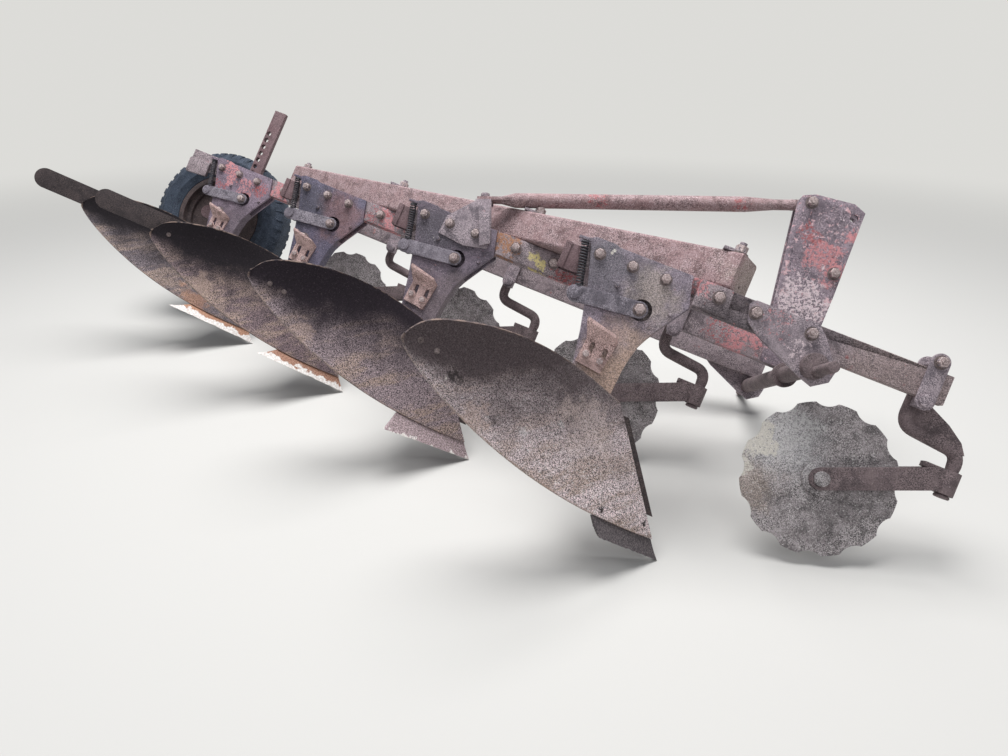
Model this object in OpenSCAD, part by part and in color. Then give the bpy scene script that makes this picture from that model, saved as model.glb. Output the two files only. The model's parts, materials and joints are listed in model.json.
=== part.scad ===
// Four-furrow mounted moldboard plough with rolling coulters, a gauge wheel and a three-point hitch.
// The plough is drawn level, as it works: X forward, Y to the land side on the left, Z up.
// Its level zero is the rear bolt of the first standard, at the middle of the beam's height.
// parked() then tips it as it lies in the yard: on its four share points and its left hitch pin.
// The finished frame has its zero at the right hitch pin, where the pin leaves its crank.

/* [Layout] */
// Sideways step from one bottom to the next, the width of a furrow slice
furrow_w = 406; // [360:1:450]
// Fore-and-aft step from one bottom to the next
bottom_pitch = 635; // [600:1:680]
// Height of the middle of the beams above the furrow floor
clearance = 700; // [660:1:760]

/* [Beams and tube] */
// Height of each beam
beam_h = 80; // [70:1:90]
// Thickness of each beam
beam_t = 32; // [26:1:38]
// Thickness of the plates that clasp a beam
plate_t = 12; // [8:1:16]
// Side of the square main tube
tube_w = 102; // [90:1:120]
// Wall of the square main tube
tube_wall = 8; // [6:0.5:12]
// How far the main tube reaches past the place of its clamp on the last beam
tube_end = 17; // [0:1:60]

/* [Bottoms] */
// Thickness of the moldboard
mold_t = 8; // [6:0.5:12]
// Height of the moldboard's shin above the furrow floor
shin_h = 353; // [320:1:380]
// How far the top edge arches above the line from shin to wing
top_arch = 60; // [40:1:75]
// Height of the lower corner of the wing above the furrow floor
wing_h = 257; // [230:1:275]
// Height of the upper corner of the wing above the furrow floor
wing_top_h = 335; // [315:1:345]
// Reach of the wing behind the rear bolt of the standard
wing_back = 318; // [300:1:350]
// Sideways run for each unit of length at the share
share_slope = 0.80; // [0.7:0.01:0.95]
// Sideways run for each unit of length at the wing
wing_slope = 0.57; // [0.5:0.01:0.65]
// Height of the landside bar
landside_h = 100; // [80:1:120]
// Length of the landside bar
landside_len = 180; // [150:1:520]

/* [Coulters] */
// Diameter of the coulter disc over its lobes
disc_d = 410; // [380:1:430]
// Thickness of the coulter disc
disc_t = 5; // [4:0.5:7]
// Number of scallops in the disc's edge
scallops = 12; // [8:1:16]
// Distance from the swivel back to the disc's hub
coulter_trail = 298; // [285:1:320]
// Diameter of the bent shank that carries the coulter
shank_d = 36; // [30:1:40]

/* [Gauge wheel] */
// Diameter of the tyre
tyre_d = 665; // [640:1:720]
// Width of the tyre
tyre_w = 165; // [150:1:180]
// Diameter of the rim over its flanges
rim_d = 412; // [395:1:430]

/* [Hitch] */
// Diameter of the lower hitch pins
pin_d = 28.4; // [22:0.1:36.6]
// Length of the lower hitch pins outside their cranks
pin_len = 140; // [120:1:150]
// Diameter of the cross shaft between the hitch plates
shaft_d = 50; // [44:1:56]
// Diameter of the top link hole
top_hole_d = 25.7; // [19.3:0.1:32]
// Height of the top link hole above the middle of the beams
mast_h = 486; // [440:1:520]

/* [Hidden] */
$fn = 48;

bottoms = 4;
// Mating faces of fixed pieces stand this far apart, faces that turn stand further
seat = 0.1;
run = 1;

// Places across the beam, from the right face of the right side plate
beam_y0 = plate_t;
beam_y1 = plate_t + beam_t;
stack_w = beam_t + 2 * plate_t;
stack_mid = stack_w / 2;
beam_top = beam_h / 2 + 2;
beam_low = -beam_h / 2 + 3;
floor_z = -clearance;

// Places on the first bottom, along the travel from the rear bolt of the standard
share_x = 459;
share_y = stack_w - 4;
seam_h = 50;
shin_slope = 0.72;
trail_dir = [-bottom_pitch, furrow_w, 0] / norm([bottom_pitch, furrow_w]);
front_dir = [furrow_w, bottom_pitch, 0] / norm([bottom_pitch, furrow_w]);

// Hitch places
shaft_x = 624;
shaft_z = -69;
crank_x = 8;
crank_z = -12;
pin_x = shaft_x + crank_x;
pin_z = shaft_z + crank_z;
crank_w = 30;
crank_d = 68;
hitch_left = 2 * furrow_w + stack_w;
pin_left_y = hitch_left + crank_w + pin_len;

// Parking tilt: the left pin's lower rim comes down to the line through the share points
park_q = (pin_x - share_x) * front_dir.x + (pin_left_y - share_y) * front_dir.y;
park_rise = pin_z + clearance;
park_steep = atan2(park_rise, park_q);
park_rim = pin_d / 2 * norm([front_dir.x * sin(park_steep), cos(park_steep)]);
park_tilt = park_steep - asin(park_rim / norm([park_rise, park_q]));

module parked() {
    rotate(a = park_tilt, v = trail_dir)
        translate([-pin_x, crank_w, -pin_z])
            children();
}

// Moves a piece drawn for the first bottom to bottom k
module at_bottom(k) {
    translate([-bottom_pitch * (k - 1), furrow_w * (k - 1), 0])
        children();
}

// Extrudes a side view drawn in X and Z from y0 to y1
module side(y0, y1) {
    translate([0, y1, 0])
        rotate([90, 0, 0])
            linear_extrude(y1 - y0)
                children();
}

// A round bar along Y
module cross_bar(x, z, d, y0, y1) {
    translate([x, y1, z])
        rotate([90, 0, 0])
            cylinder(d = d, h = y1 - y0);
}

// A round bar from one point to another
module bar_between(a, b, d) {
    v = b - a;
    translate(a)
        rotate([0, acos(v.z / norm(v)), atan2(v.y, v.x)])
            cylinder(d = d, h = norm(v));
}

// A slot standing upright in a side view
module upright_slot(d, long) {
    circle(d = d);
    translate([0, -long])
        circle(d = d);
    translate([-d / 2, -long])
        square([d, long]);
}

// A hexagon bolt head or nut on a face that looks to -Y, with its washer
module side_bolt(x, z, y, af = 24) {
    translate([x, y, z])
        rotate([90, 0, 0]) {
            cylinder(d = af * 1.5, h = 3);
            cylinder(d = af * 1.15, h = 3 + af * 0.6, $fn = 6);
        }
}

// Two rows of points closed into a plate: front and back are grids of points
module grid_plate(front, back) {
    nu = len(front);
    nv = len(front[0]);
    pts = [for (row = front) each row, for (row = back) each row];
    function f(i, j) = i * nv + j;
    function b(i, j) = nu * nv + i * nv + j;
    function quad(p, q, r, s) = [[r, q, p], [s, r, p]];
    faces = [
        for (i = [0:nu - 2], j = [0:nv - 2]) each quad(f(i, j), f(i, j + 1), f(i + 1, j + 1), f(i + 1, j)),
        for (i = [0:nu - 2], j = [0:nv - 2]) each quad(b(i, j), b(i + 1, j), b(i + 1, j + 1), b(i, j + 1)),
        for (i = [0:nu - 2]) each quad(f(i, 0), f(i + 1, 0), b(i + 1, 0), b(i, 0)),
        for (i = [0:nu - 2]) each quad(f(i, nv - 1), b(i, nv - 1), b(i + 1, nv - 1), f(i + 1, nv - 1)),
        for (j = [0:nv - 2]) each quad(f(0, j), b(0, j), b(0, j + 1), f(0, j + 1)),
        for (j = [0:nv - 2]) each quad(f(nu - 1, j), f(nu - 1, j + 1), b(nu - 1, j + 1), b(nu - 1, j))
    ];
    polyhedron(pts, faces);
}

// Moldboard face. Level lines run back and outward from the shin, and their slope falls from the
// share to the wing, then grows again toward the top so that the wing leans out over the furrow.
function shin_x(h) = share_x - shin_slope * h;
function shin_y(h) = (share_y - 2) * pow(max(1 - h / 300, 0), 1.5);
function run_slope(h) = h < wing_h
    ? wing_slope + (share_slope - wing_slope) * pow((wing_h - h) / wing_h, 2)
    : wing_slope + 0.09 * pow((h - wing_h) / 90, 2);
function face_y(x, h) = shin_y(h) - (shin_x(h) - x) * run_slope(h);
wing_lean = 8;
wing_round = 38;
wing_lift = 10;
function low_edge(s) = [
    shin_x(seam_h) + (wing_lean - wing_back - shin_x(seam_h)) * s,
    seam_h + (wing_h - seam_h) * pow(max(s, 0), 2.1) + wing_lift * pow(max(s, 0), 20)
];
function top_edge(s) = [
    shin_x(shin_h) + (-wing_back - shin_x(shin_h)) * s,
    shin_h + (wing_top_h - shin_h) * s + top_arch * sin(180 * s) - wing_round * pow(max(s, 0), 24)
];
function outline(s, v) = low_edge(s) * (1 - v) + top_edge(s) * v
    - [wing_lean * sin(180 * v) * pow(s, 8), 0];
function on_face(s, v) = let (p = outline(s, v)) [p.x, face_y(p.x, p.y), p.y + floor_z];
function face_normal(s, v) = let (
    e = 0.01,
    n = cross(on_face(s + e, v) - on_face(s - e, v), on_face(s, v + e) - on_face(s, v - e))
) n / norm(n);
function behind(s, v, d) = on_face(s, v) + d * face_normal(s, v);

// Number of facets along and up the moldboard: what lies on it keeps to the same grid
face_s = 18;
face_v = 9;
// What is bolted to the curved back stands this far off it
skin_gap = 0.3;

// Points at depth d behind the face, on a patch of ns by nv of its facets from facet (s0, v0) on
function skin_grid(s0, v0, ns, nv, d) = [
    for (i = [0:ns]) [for (j = [0:nv]) behind((s0 + i) / face_s, (v0 + j) / face_v, d)]
];

// A patch of plate that follows the moldboard's curve between two depths behind its face
module skin(s0, v0, ns, nv, d0, d1) {
    grid_plate(skin_grid(s0, v0, ns, nv, d0), skin_grid(s0, v0, ns, nv, d1));
}

module moldboard(k) parked() at_bottom(k) color("#4a3a33")
    skin(0, 0, face_s, face_v, 0, mold_t);

// Share: a plate from the cutting edge up to the seam under the moldboard. Each is worn its own way.
share_rows = [
    // rear end of the seam, rear end of the cutting edge, how far that end is worn up
    [250, 290, 10],
    [208, 205, 2],
    [205, 172, 26],
    [195, 152, 28]
];
share_step = 5;
module share(k) parked() at_bottom(k) color("#5a4538") {
    n = 5;
    row = share_rows[k - 1];
    seam_s = (shin_x(seam_h) - row[0]) / (shin_x(seam_h) + wing_back - wing_lean);
    wing_y = face_y(row[1], 0);
    drop = [0, 0, -0.8];
    cut = [for (i = [0:n]) let (u = i / n) [
        share_x + (row[1] - share_x) * u,
        share_y + (wing_y - share_y) * u,
        floor_z + row[2] * u
    ]];
    seam = [for (i = [0:n]) behind(seam_s * i / n, 0, share_step) + drop];
    seam_back = [for (i = [0:n]) behind(seam_s * i / n, 0, share_step + mold_t) + drop];
    front = [for (i = [0:n]) [cut[i], (cut[i] + seam[i]) / 2 + [0, 0, -2], seam[i]]];
    back = [for (i = [0:n]) [
        cut[i] + [-9, 9, 2],
        (cut[i] + seam_back[i]) / 2 + [-5, 4, -4],
        seam_back[i]
    ]];
    grid_plate(front, back);
}

// Side view of a standard: the head round the beam, then the leg down to the frog
module standard_outline() {
    polygon([
        [-72, 28], [-72, 35], [-42, 37], [-24, 46], [30, 46], [44, 41], [252, 41], [275, -43],
        [224, -124], [204, -158], [191, -186], [182, -224], [176, -262], [172, -330],
        [176, -420], [196, -500], [240, -580],
        [110, -580], [78, -460], [52, -330], [30, -210], [12, -133], [2, -88], [-36, 28]
    ]);
}

link_pivot = [-22, -120];
link_bolt = [156, -99];

module trip_slot() {
    translate(link_bolt + [4, 2])
        circle(d = 60);
}

module standard(k) parked() at_bottom(k) color("#4b4145") {
    side(0, plate_t)
        difference() {
            standard_outline();
            trip_slot();
        }
    side(beam_y1, stack_w)
        standard_outline();
    side(beam_y0, beam_y1)
        intersection() {
            standard_outline();
            translate([-100, -600])
                square([400, 450]);
        }
    for (x = k == 2 ? [0] : [0, 95, 190])
        side_bolt(x, 4, 0, 22);
    side_bolt(76, -57, 0, 11);
    side_bolt(236, -80, 0, 9);
    if (k > 2)
        side_bolt(72, -189, 0, 26);
}

link_w = 46;
module link_outline() {
    hull()
        for (p = [link_pivot, link_bolt])
            translate(p)
                circle(d = link_w);
}

module trip_links() parked() color("#3f3d41")
    for (k = [1:bottoms])
        at_bottom(k) {
            side(-10 - seat, -seat)
                link_outline();
            side_bolt(link_bolt.x, link_bolt.y, -10 - seat, 24);
            cross_bar(link_pivot.x, link_pivot.y, 34, -16 - seat, stack_w);
        }

// Coil of the trip spring, from the link pivot up to the hook on the standard's head
spring_low = [-21, -92];
spring_high = [-50, 22];
spring_d = 24;
spring_wire = 5;
spring_turns = 12;
module trip_springs() parked() color("#2c2a2c")
    for (k = [1:bottoms])
        at_bottom(k) {
            axis = spring_high - spring_low;
            long = norm(axis);
            translate([spring_low.x, -2.5, spring_low.y])
                rotate([0, atan2(axis.x, axis.y), 0]) {
                    cylinder(d = spring_d - 2 * spring_wire + 2, h = long);
                    for (i = [0:spring_turns - 1])
                        translate([0, 0, long * (i + 0.5) / spring_turns])
                            rotate_extrude($fn = 24)
                                translate([spring_d / 2 - spring_wire / 2, 0])
                                    circle(d = spring_wire, $fn = 16);
                    translate([0, 0, long - 2])
                        cylinder(d = 22, h = 5);
                    translate([0, 0, -3])
                        cylinder(d = 22, h = 5);
                }
        }

// Hood of folded plate against the beam's rear end, open below, with a flange up its rear corner
hood_rear = -100;
module spring_boxes() parked() color("#5b4a44")
    for (k = [1:bottoms - 1])
        at_bottom(k) {
            difference() {
                translate([hood_rear, beam_y0 - 2, -66])
                    cube([beam_rear[0] - seat - hood_rear, beam_t + 4, 74]);
                translate([hood_rear + 3, beam_y0 + 1, -67])
                    cube([-hood_rear, beam_t - 2, 72]);
            }
            translate([hood_rear, beam_y0 - 6, -66])
                cube([18, 5, 76]);
        }

// Beams: each runs forward past its standard to the coulter clamp, the middle two on to the hitch
beam_front = [958, 690 + bottom_pitch, 650 + 2 * bottom_pitch, 958];
beam_rear = [-38, -38, -38, -172];
joint_front = [366, 505, 505, 372];
module beam_bar(k) {
    side(beam_y0 + seat, beam_y1 - seat)
        polygon([
            [beam_rear[k - 1], beam_low], [beam_front[k - 1], beam_low],
            [beam_front[k - 1], beam_top], [beam_rear[k - 1], beam_top]
        ]);
}

module beam(k) parked() at_bottom(k) color("#6b3f3d") {
    end = joint_front[k - 1];
    beam_bar(k);
    if (k == bottoms)
        side(-8, beam_y0 + seat)
            polygon([[-165, -72], [-168, -8], [-160, 0], [-62, 2], [-62, -64]]);
    side(-seat - 10, beam_y0 + seat)
        polygon([[277, -34], [end + 6, -34], [end, 40], [277, 40]]);
    side_bolt(336, 8, -seat - 10, 24);
    if (end > 400)
        side_bolt(471, 6, -seat - 10, 24);
}

// Main tube: a square tube laid across the beams from the first to the fourth
tube_turn = atan2(trail_dir.y, trail_dir.x);
tube_corner = [350, -10];
module tube_frame() {
    translate([tube_corner.x, tube_corner.y, beam_top + seat])
        rotate([0, 0, tube_turn])
            mirror([0, 1, 0])
                children();
}

tube_len = (bottoms - 1) * norm([bottom_pitch, furrow_w]) + tube_end;
tube_cap = 6;
module rounded_square(w, r) {
    translate([r, 0])
        square([w - 2 * r, w]);
    translate([0, r])
        square([w, w - 2 * r]);
    for (x = [r, w - r], y = [r, w - r])
        translate([x, y])
            circle(r = r);
}

// Each end is closed by a plate with a drain hole
module main_tube() parked() color("#6d4244")
    tube_frame()
        rotate([90, 0, 90])
            difference() {
                linear_extrude(tube_len)
                    rounded_square(tube_w, 10);
                translate([tube_wall, tube_wall, tube_cap])
                    linear_extrude(tube_len - 2 * tube_cap)
                        square(tube_w - 2 * tube_wall);
                translate([tube_w / 2, 20, -1])
                    cylinder(d = 8, h = tube_len + 2);
            }

// Tube clamps: a plate on top of the tube over each beam, with the nut of the bolt that goes down through it
clamp_rows = [
    // bottom, rear end of the plate, place of the nut, height of the thread
    [1, 298, 344, 34],
    [2, 305, 356, 22],
    [3, 311, 362, 34],
    [4, 362, 378, 34]
];
tube_top = beam_top + tube_w + 2 * seat;
module tube_clamps() parked() color("#5a3c36")
    for (row = clamp_rows)
        at_bottom(row[0])
            translate([0, stack_mid, tube_top]) {
                translate([row[1], -16, 0])
                    cube([60, 32, 8]);
                translate([row[2], 0, 0])
                    cylinder(d = 34, h = 18, $fn = 6);
                translate([row[2], 0, 0])
                    cylinder(d = 20, h = row[3]);
            }

// Hitch plates: on the outside of the first beam on the right and of the third beam on the left
module hitch_outline() {
    difference() {
        polygon([
            [416, 28], [430, 41], [600, 41], [630, 14], [682, -60], [676, -92], [640, -118],
            [604, -106], [470, -48], [428, -20]
        ]);
        translate([shaft_x, shaft_z])
            circle(d = shaft_d + 0.1);
    }
}

module hitch_plates() parked() color("#5a4348") {
    side(0, plate_t)
        hitch_outline();
    translate([0, 2 * furrow_w, 0])
        side(beam_y1, stack_w)
            hitch_outline();
    for (p = [[439, 8], [590, 10]]) {
        side_bolt(p.x, p.y, 0, 24);
        translate([0, 2 * furrow_w + stack_w, 0])
            mirror([0, 1, 0])
                side_bolt(p.x, p.y, 0, 24);
    }
}

module cross_shaft() parked() color("#5c4034") {
    cross_bar(shaft_x, shaft_z, shaft_d, -4, hitch_left + 4);
    for (y = [-crank_w, hitch_left])
        cross_bar(shaft_x, shaft_z, crank_d, y, y + crank_w);
    cross_bar(shaft_x, shaft_z, 74, 290, 310);
    cross_bar(pin_x, pin_z, pin_d, -crank_w - pin_len, -crank_w + 1);
    cross_bar(pin_x, pin_z, pin_d, hitch_left + crank_w - 1, hitch_left + crank_w + pin_len);
}

// Mast: two plates that clasp the second beam and hold the top link pin between them
module mast_outline() {
    polygon([
        [560, -37], [478, mast_h - 6], [486, mast_h + 16], [522, mast_h + 32], [642, mast_h + 44],
        [682, mast_h + 28], [684, mast_h - 28], [690, 230], [690, -37]
    ]);
}

mast_hole_x = 657;
mast_pin = [519, mast_h + 2];
module mast() parked() color("#8a5c62")
    translate([0, furrow_w, 0]) {
        for (y = [0, beam_y1])
            difference() {
                side(y, y + plate_t)
                    mast_outline();
                cross_bar(mast_hole_x, mast_h, top_hole_d, y - 1, y + plate_t + 1);
            }
        for (p = [mast_pin, [664, mast_h - 186]]) {
            cross_bar(p.x, p.y, 20, plate_t - 1, beam_y1 + 1);
            side_bolt(p.x, p.y, 0, 26);
        }
    }

// Brace: a pipe from the mast's rear top bolt down to the bracket on the second beam
brace_low = [-470, 128];
brace_turn = 90 - atan2(mast_pin.y - brace_low.y, mast_pin.x - brace_low.x);
brace_len = norm(mast_pin - brace_low);
brace_rows = [
    // start along the brace, end before the mast's pin, diameter at the start, diameter at the end
    [58, brace_len - 104, 26, 49],
    [104, 200, 49, 49],
    [brace_len - 200, 110, 49, 34],
    [brace_len - 110, 46, 34, 34]
];
module brace() parked() color("#6d403c")
    translate([brace_low.x, furrow_w + stack_mid, brace_low.y])
        rotate([0, brace_turn, 0]) {
            for (row = brace_rows)
                translate([0, 0, row[0]])
                    cylinder(d1 = row[2], d2 = row[3], h = brace_len - row[1] - row[0]);
            difference() {
                translate([-6, -24, -24])
                    cube([12, 48, 116]);
                translate([-7, 0, 0])
                    rotate([0, 90, 0])
                        cylinder(d = 18.4, h = 14);
            }
            translate([-16, -8, brace_len - 60])
                difference() {
                    cube([32, 16, 84]);
                    translate([16, -1, 60])
                        rotate([-90, 0, 0])
                            cylinder(d = 20.4, h = 18);
                }
        }

// Bracket held by two head bolts of the second standard, with a tab under the brace's flat end
module brace_bracket() parked() color("#4f4248") {
    translate([0, furrow_w, 0]) {
        side(-8 - seat, -seat)
            polygon([
                [-565, -38], [-470, -48], [-392, -30], [-392, 10], [-440, 125], [-490, 107], [-560, 25]
            ]);
        side(-20, -8)
            polygon([[-470, 92], [-437, 109], [-385, -10], [-416, -31]]);
        for (x = [95, 190])
            side_bolt(x - bottom_pitch, 4, -8 - seat, 22);
    }
    translate([brace_low.x, furrow_w, brace_low.y])
        rotate([0, brace_turn, 0]) {
            translate([6 + seat, -6, -26])
                cube([10, stack_mid + 30, 52]);
            translate([-20, stack_mid, 0])
                rotate([0, 90, 0])
                    cylinder(d = 18, h = 42);
            translate([-22, stack_mid, 0])
                rotate([0, 90, 0])
                    cylinder(d = 30, h = 16 - seat, $fn = 6);
        }
}

// Trash bracket: a slotted plate on the leg with a flange turned up and out
module trash_brackets() parked() color("#8a6a55")
    for (k = [1:bottoms])
        at_bottom(k) {
            side(-10 - seat, -seat)
                difference() {
                    polygon([[56, -222], [137, -210], [124, -298], [50, -289]]);
                    for (p = [[77, -232], [116, -236]])
                        translate(p)
                            upright_slot(13, 26);
                }
            grid_plate(
                [for (y = [-4, -46]) let (up = (-9 - y) / 37)
                    [[56 - 16 * up, y, -222 + 42 * up], [137 - 8 * up, y, -210 + 12 * up]]],
                [for (y = [-4, -46]) let (up = (-9 - y) / 37)
                    [[56 - 16 * up, y, -214 + 44 * up], [137 - 8 * up, y, -202 + 12 * up]]]
            );
            side_bolt(70, -262, -10 - seat, 17);
            side_bolt(112, -268, -10 - seat, 17);
        }

// Frog: the block that joins leg, landside, share and moldboard, with a shin bar on the land side
module frogs() parked() color("#463a36")
    for (k = [1:bottoms])
        at_bottom(k) {
            side(14, beam_y1)
                polygon([
                    [shin_x(325) - 22, floor_z + 325], [shin_x(150) - 32, floor_z + 150],
                    [shin_x(66) - 46, floor_z + 66], [300, floor_z + 42], [225, floor_z + 62],
                    [112, -580.2], [240.2, -580.2], [196.2, -500], [180, -400]
                ]);
            side(beam_y1 - 4, stack_w - 1)
                polygon([
                    [shin_x(325) + 18, floor_z + 325], [shin_x(104) + 18, floor_z + 104],
                    [shin_x(104) - 60, floor_z + 104], [shin_x(325) - 20, floor_z + 325]
                ]);
            frog_cheek();
        }

// Cheek of the frog: it fills the space from the back of the moldboard to the web of the frog
module frog_cheek() {
    front = skin_grid(0.5, 0.5, 2, 4, mold_t + skin_gap);
    back = [for (row = front) [for (p = row) [p.x, beam_y1 - 10, p.z]]];
    grid_plate(front, back);
}

module landsides() parked() color("#4d3b33")
    for (k = [1:bottoms])
        at_bottom(k)
            side(beam_y1 + seat, stack_w - 1)
                polygon([
                    [shin_x(20) - 22, floor_z + 8], [shin_x(landside_h) - 10, floor_z + landside_h],
                    [shin_x(20) - landside_len, floor_z + landside_h],
                    [shin_x(20) - landside_len, floor_z + 16]
                ]);

// Strut from the foot of the leg to two bolts near the wing
module wing_braces() parked() color("#453835")
    for (k = [1:bottoms])
        at_bottom(k) {
            v = k > 2 ? 1 : 4;
            skin(15, v, 2, 2, mold_t + skin_gap, mold_t + 12);
            bar_between(behind(16 / face_s, (v + 1) / face_v, mold_t + 14), [118, -14, -500], 22);
            cross_bar(118, -500, 44, -26, -seat);
        }

// Tailpieces: a long narrow plate behind the wings of the last two moldboards, with a rounded end
tail_x = -225;
tail_y = -262;
tail_slope = 0.58;
tail_h = 370;
tail_rows = [
    // bottom, height of the plate, length
    [3, 72, 326],
    [4, 84, 322]
];
module tailpiece(k) parked() at_bottom(k) color("#40332f") {
    row = tail_rows[k - 3];
    r = row[1] / 2;
    translate([tail_x, tail_y, floor_z + tail_h - row[1]])
        rotate([0, 0, atan(tail_slope)])
            side(0, mold_t) {
                translate([r - row[2], r])
                    circle(r = r);
                translate([r - row[2], 0])
                    square([row[2] - r, row[1]]);
            }
    for (v = [6, 7.5])
        bar_between(
            behind(16 / face_s, v / face_v, mold_t + skin_gap),
            behind(16 / face_s, v / face_v, mold_t + 16), 20
        );
}

// Coulter clamps: a strap either side of beam and shank, a bolt above and a hook under the beam
clamp_x = 911;
clamp_bolt_z = 62;
clamp_low_z = -44;
shank_x = 901;
shank_y = beam_y1 + shank_d / 2 + seat;
strap_t = 10;
strap_w = 48;
module strap(y, z0, z1) {
    side(y, y + strap_t) {
        for (z = [z0, z1])
            translate([clamp_x, z])
                circle(d = strap_w);
        translate([clamp_x - strap_w / 2, z0])
            square([strap_w, z1 - z0]);
    }
}

module coulter_clamps() parked() color("#5b4540")
    for (k = [1:bottoms])
        at_bottom(k) {
            near = beam_y0 - strap_t;
            far = shank_y + shank_d / 2 + seat;
            strap(near, clamp_low_z, clamp_bolt_z);
            strap(far, -10, clamp_bolt_z);
            translate([clamp_x - 18, near, clamp_low_z - 18])
                cube([36, beam_y1 - near, beam_low - seat - clamp_low_z + 18]);
            cross_bar(clamp_x, clamp_bolt_z, 18, near - 2, far + strap_t + 14);
            side_bolt(clamp_x, clamp_bolt_z, near, 24);
            cross_bar(clamp_x, clamp_low_z, 34, near - 9, near + 1);
        }

// Bent shank: down beside the beam, forward in a crank, then down as the swivel pin
swivel_x = 1062;
swivel_y = 75;
hub_x = swivel_x - coulter_trail;
hub_z = -327;
pivot_top = -150;
shank_top = 50;
shank_bend = -112;
pivot_d = 28;
module coulter_shanks() parked() color("#5a4136")
    for (k = [1:bottoms])
        at_bottom(k) {
            translate([shank_x, shank_y, shank_bend])
                cylinder(d = shank_d, h = shank_top - shank_bend);
            bar_between([shank_x, shank_y, shank_bend], [swivel_x, swivel_y, pivot_top + 22], shank_d);
            translate([shank_x, shank_y, shank_bend])
                sphere(d = shank_d + 3);
            translate([swivel_x, swivel_y, pivot_top + 22])
                sphere(d = shank_d + 3);
            translate([swivel_x, swivel_y, yoke_low - 10])
                cylinder(d = pivot_d, h = pivot_top + 22 - yoke_low + 10);
            translate([swivel_x, swivel_y, yoke_low - 10])
                cylinder(d = 40, h = 8);
            if (k == 1)
                side(shank_y - 4, shank_y + 4)
                    polygon([
                        [shank_x, -60], [952, -42], [1008, -70], [1052, -102], [1070, -130], [1040, -128],
                        [shank_x, -105]
                    ]);
        }

// Yoke: a knuckle on the swivel pin and an arm either side of the disc
yoke_gap = 34;
yoke_low = -242;
yoke_high = -178;
arm_w = 60;
arm_end = [-33, -211];
arm_way = (arm_end - [-coulter_trail, hub_z]) / norm(arm_end - [-coulter_trail, hub_z]);
arm_side = [-arm_way.y, arm_way.x] * arm_w / 2;
module coulter_yoke(k) parked() at_bottom(k) color("#604338")
    translate([swivel_x, swivel_y, 0]) {
        difference() {
            union() {
                translate([0, 0, yoke_low])
                    cylinder(d = 52, h = yoke_high - yoke_low);
                translate([-74, -yoke_gap / 2 + 2, yoke_high - 14])
                    cube([74, yoke_gap - 4, 14]);
                translate([-44, -yoke_gap / 2 - 1, yoke_low + 12])
                    cube([44, yoke_gap + 2, 40]);
            }
            translate([0, 0, yoke_low - 10])
                cylinder(d = pivot_d + 0.2, h = 100);
        }
        for (y = [-yoke_gap / 2 - 10, yoke_gap / 2])
            side(y, y + 10)
                difference() {
                    union() {
                        translate([-coulter_trail, hub_z])
                            circle(d = arm_w);
                        polygon([
                            [-coulter_trail, hub_z] + arm_side, arm_end + arm_side,
                            arm_end - arm_side, [-coulter_trail, hub_z] - arm_side
                        ]);
                    }
                    translate([-coulter_trail, hub_z])
                        circle(d = 24.2);
                }
    }

scallop_d = 96;
scallop_out = 36;
module coulter_disc(k) parked() at_bottom(k) color("#8b8481")
    translate([hub_x, swivel_y, hub_z]) {
        difference() {
            cross_bar(0, 0, disc_d, -disc_t / 2, disc_t / 2);
            for (i = [0:scallops - 1])
                rotate([0, 360 / scallops * (i + 0.5), 0])
                    cross_bar(disc_d / 2 + scallop_out, 0, scallop_d, -disc_t, disc_t);
        }
        cross_bar(0, 0, 92, -yoke_gap / 2 + run, yoke_gap / 2 - run);
        cross_bar(0, 0, 24, -yoke_gap / 2 - 20, yoke_gap / 2 + 20);
        for (m = [0, 1])
            mirror([0, m, 0])
                cross_bar(0, 0, 40, -yoke_gap / 2 - 22, -yoke_gap / 2 - 10 - run);
    }

// Gauge wheel on a cranked leg whose holed bar slides in a bracket on the last beam
leg_x = -(bottoms - 1) * bottom_pitch + 112;
leg_y = (bottoms - 1) * furrow_w + stack_w + 26;
leg_w = 58;
leg_t = 22;
leg_low = -240;
leg_top = 365;
wheel_x = -(bottoms - 1) * bottom_pitch - 37;
wheel_y = leg_y + 168;
wheel_z = -208;
module wheel_leg() parked() color("#77535a") {
    difference() {
        translate([leg_x - leg_w / 2, leg_y, leg_low])
            cube([leg_w, leg_t, leg_top - leg_low]);
        for (i = [0:7])
            cross_bar(leg_x - 13, 250 - 34 * i, 21, leg_y - 1, leg_y + leg_t + 1);
    }
    hull() {
        translate([leg_x - leg_w / 2, leg_y, leg_low])
            cube([leg_w, leg_t, 60]);
        cross_bar(wheel_x, wheel_z, 60, leg_y, leg_y + leg_t);
    }
    cross_bar(wheel_x, wheel_z, 32, leg_y, wheel_y + 60);
    cross_bar(wheel_x, wheel_z, 50, wheel_y + 52, wheel_y + 62);
}

module wheel_bracket() parked() color("#4f4248") {
    y0 = (bottoms - 1) * furrow_w + stack_w;
    difference() {
        translate([leg_x - 50, y0 + seat, -40])
            cube([100, leg_y + 36 - y0, 82]);
        translate([leg_x - leg_w / 2 - 0.5, leg_y - 0.5, -60])
            cube([leg_w + 1, leg_t + 1, 120]);
        translate([leg_x - 36, y0 + 14, -60])
            cube([72, leg_y - y0 - 24, 120]);
    }
}

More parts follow.
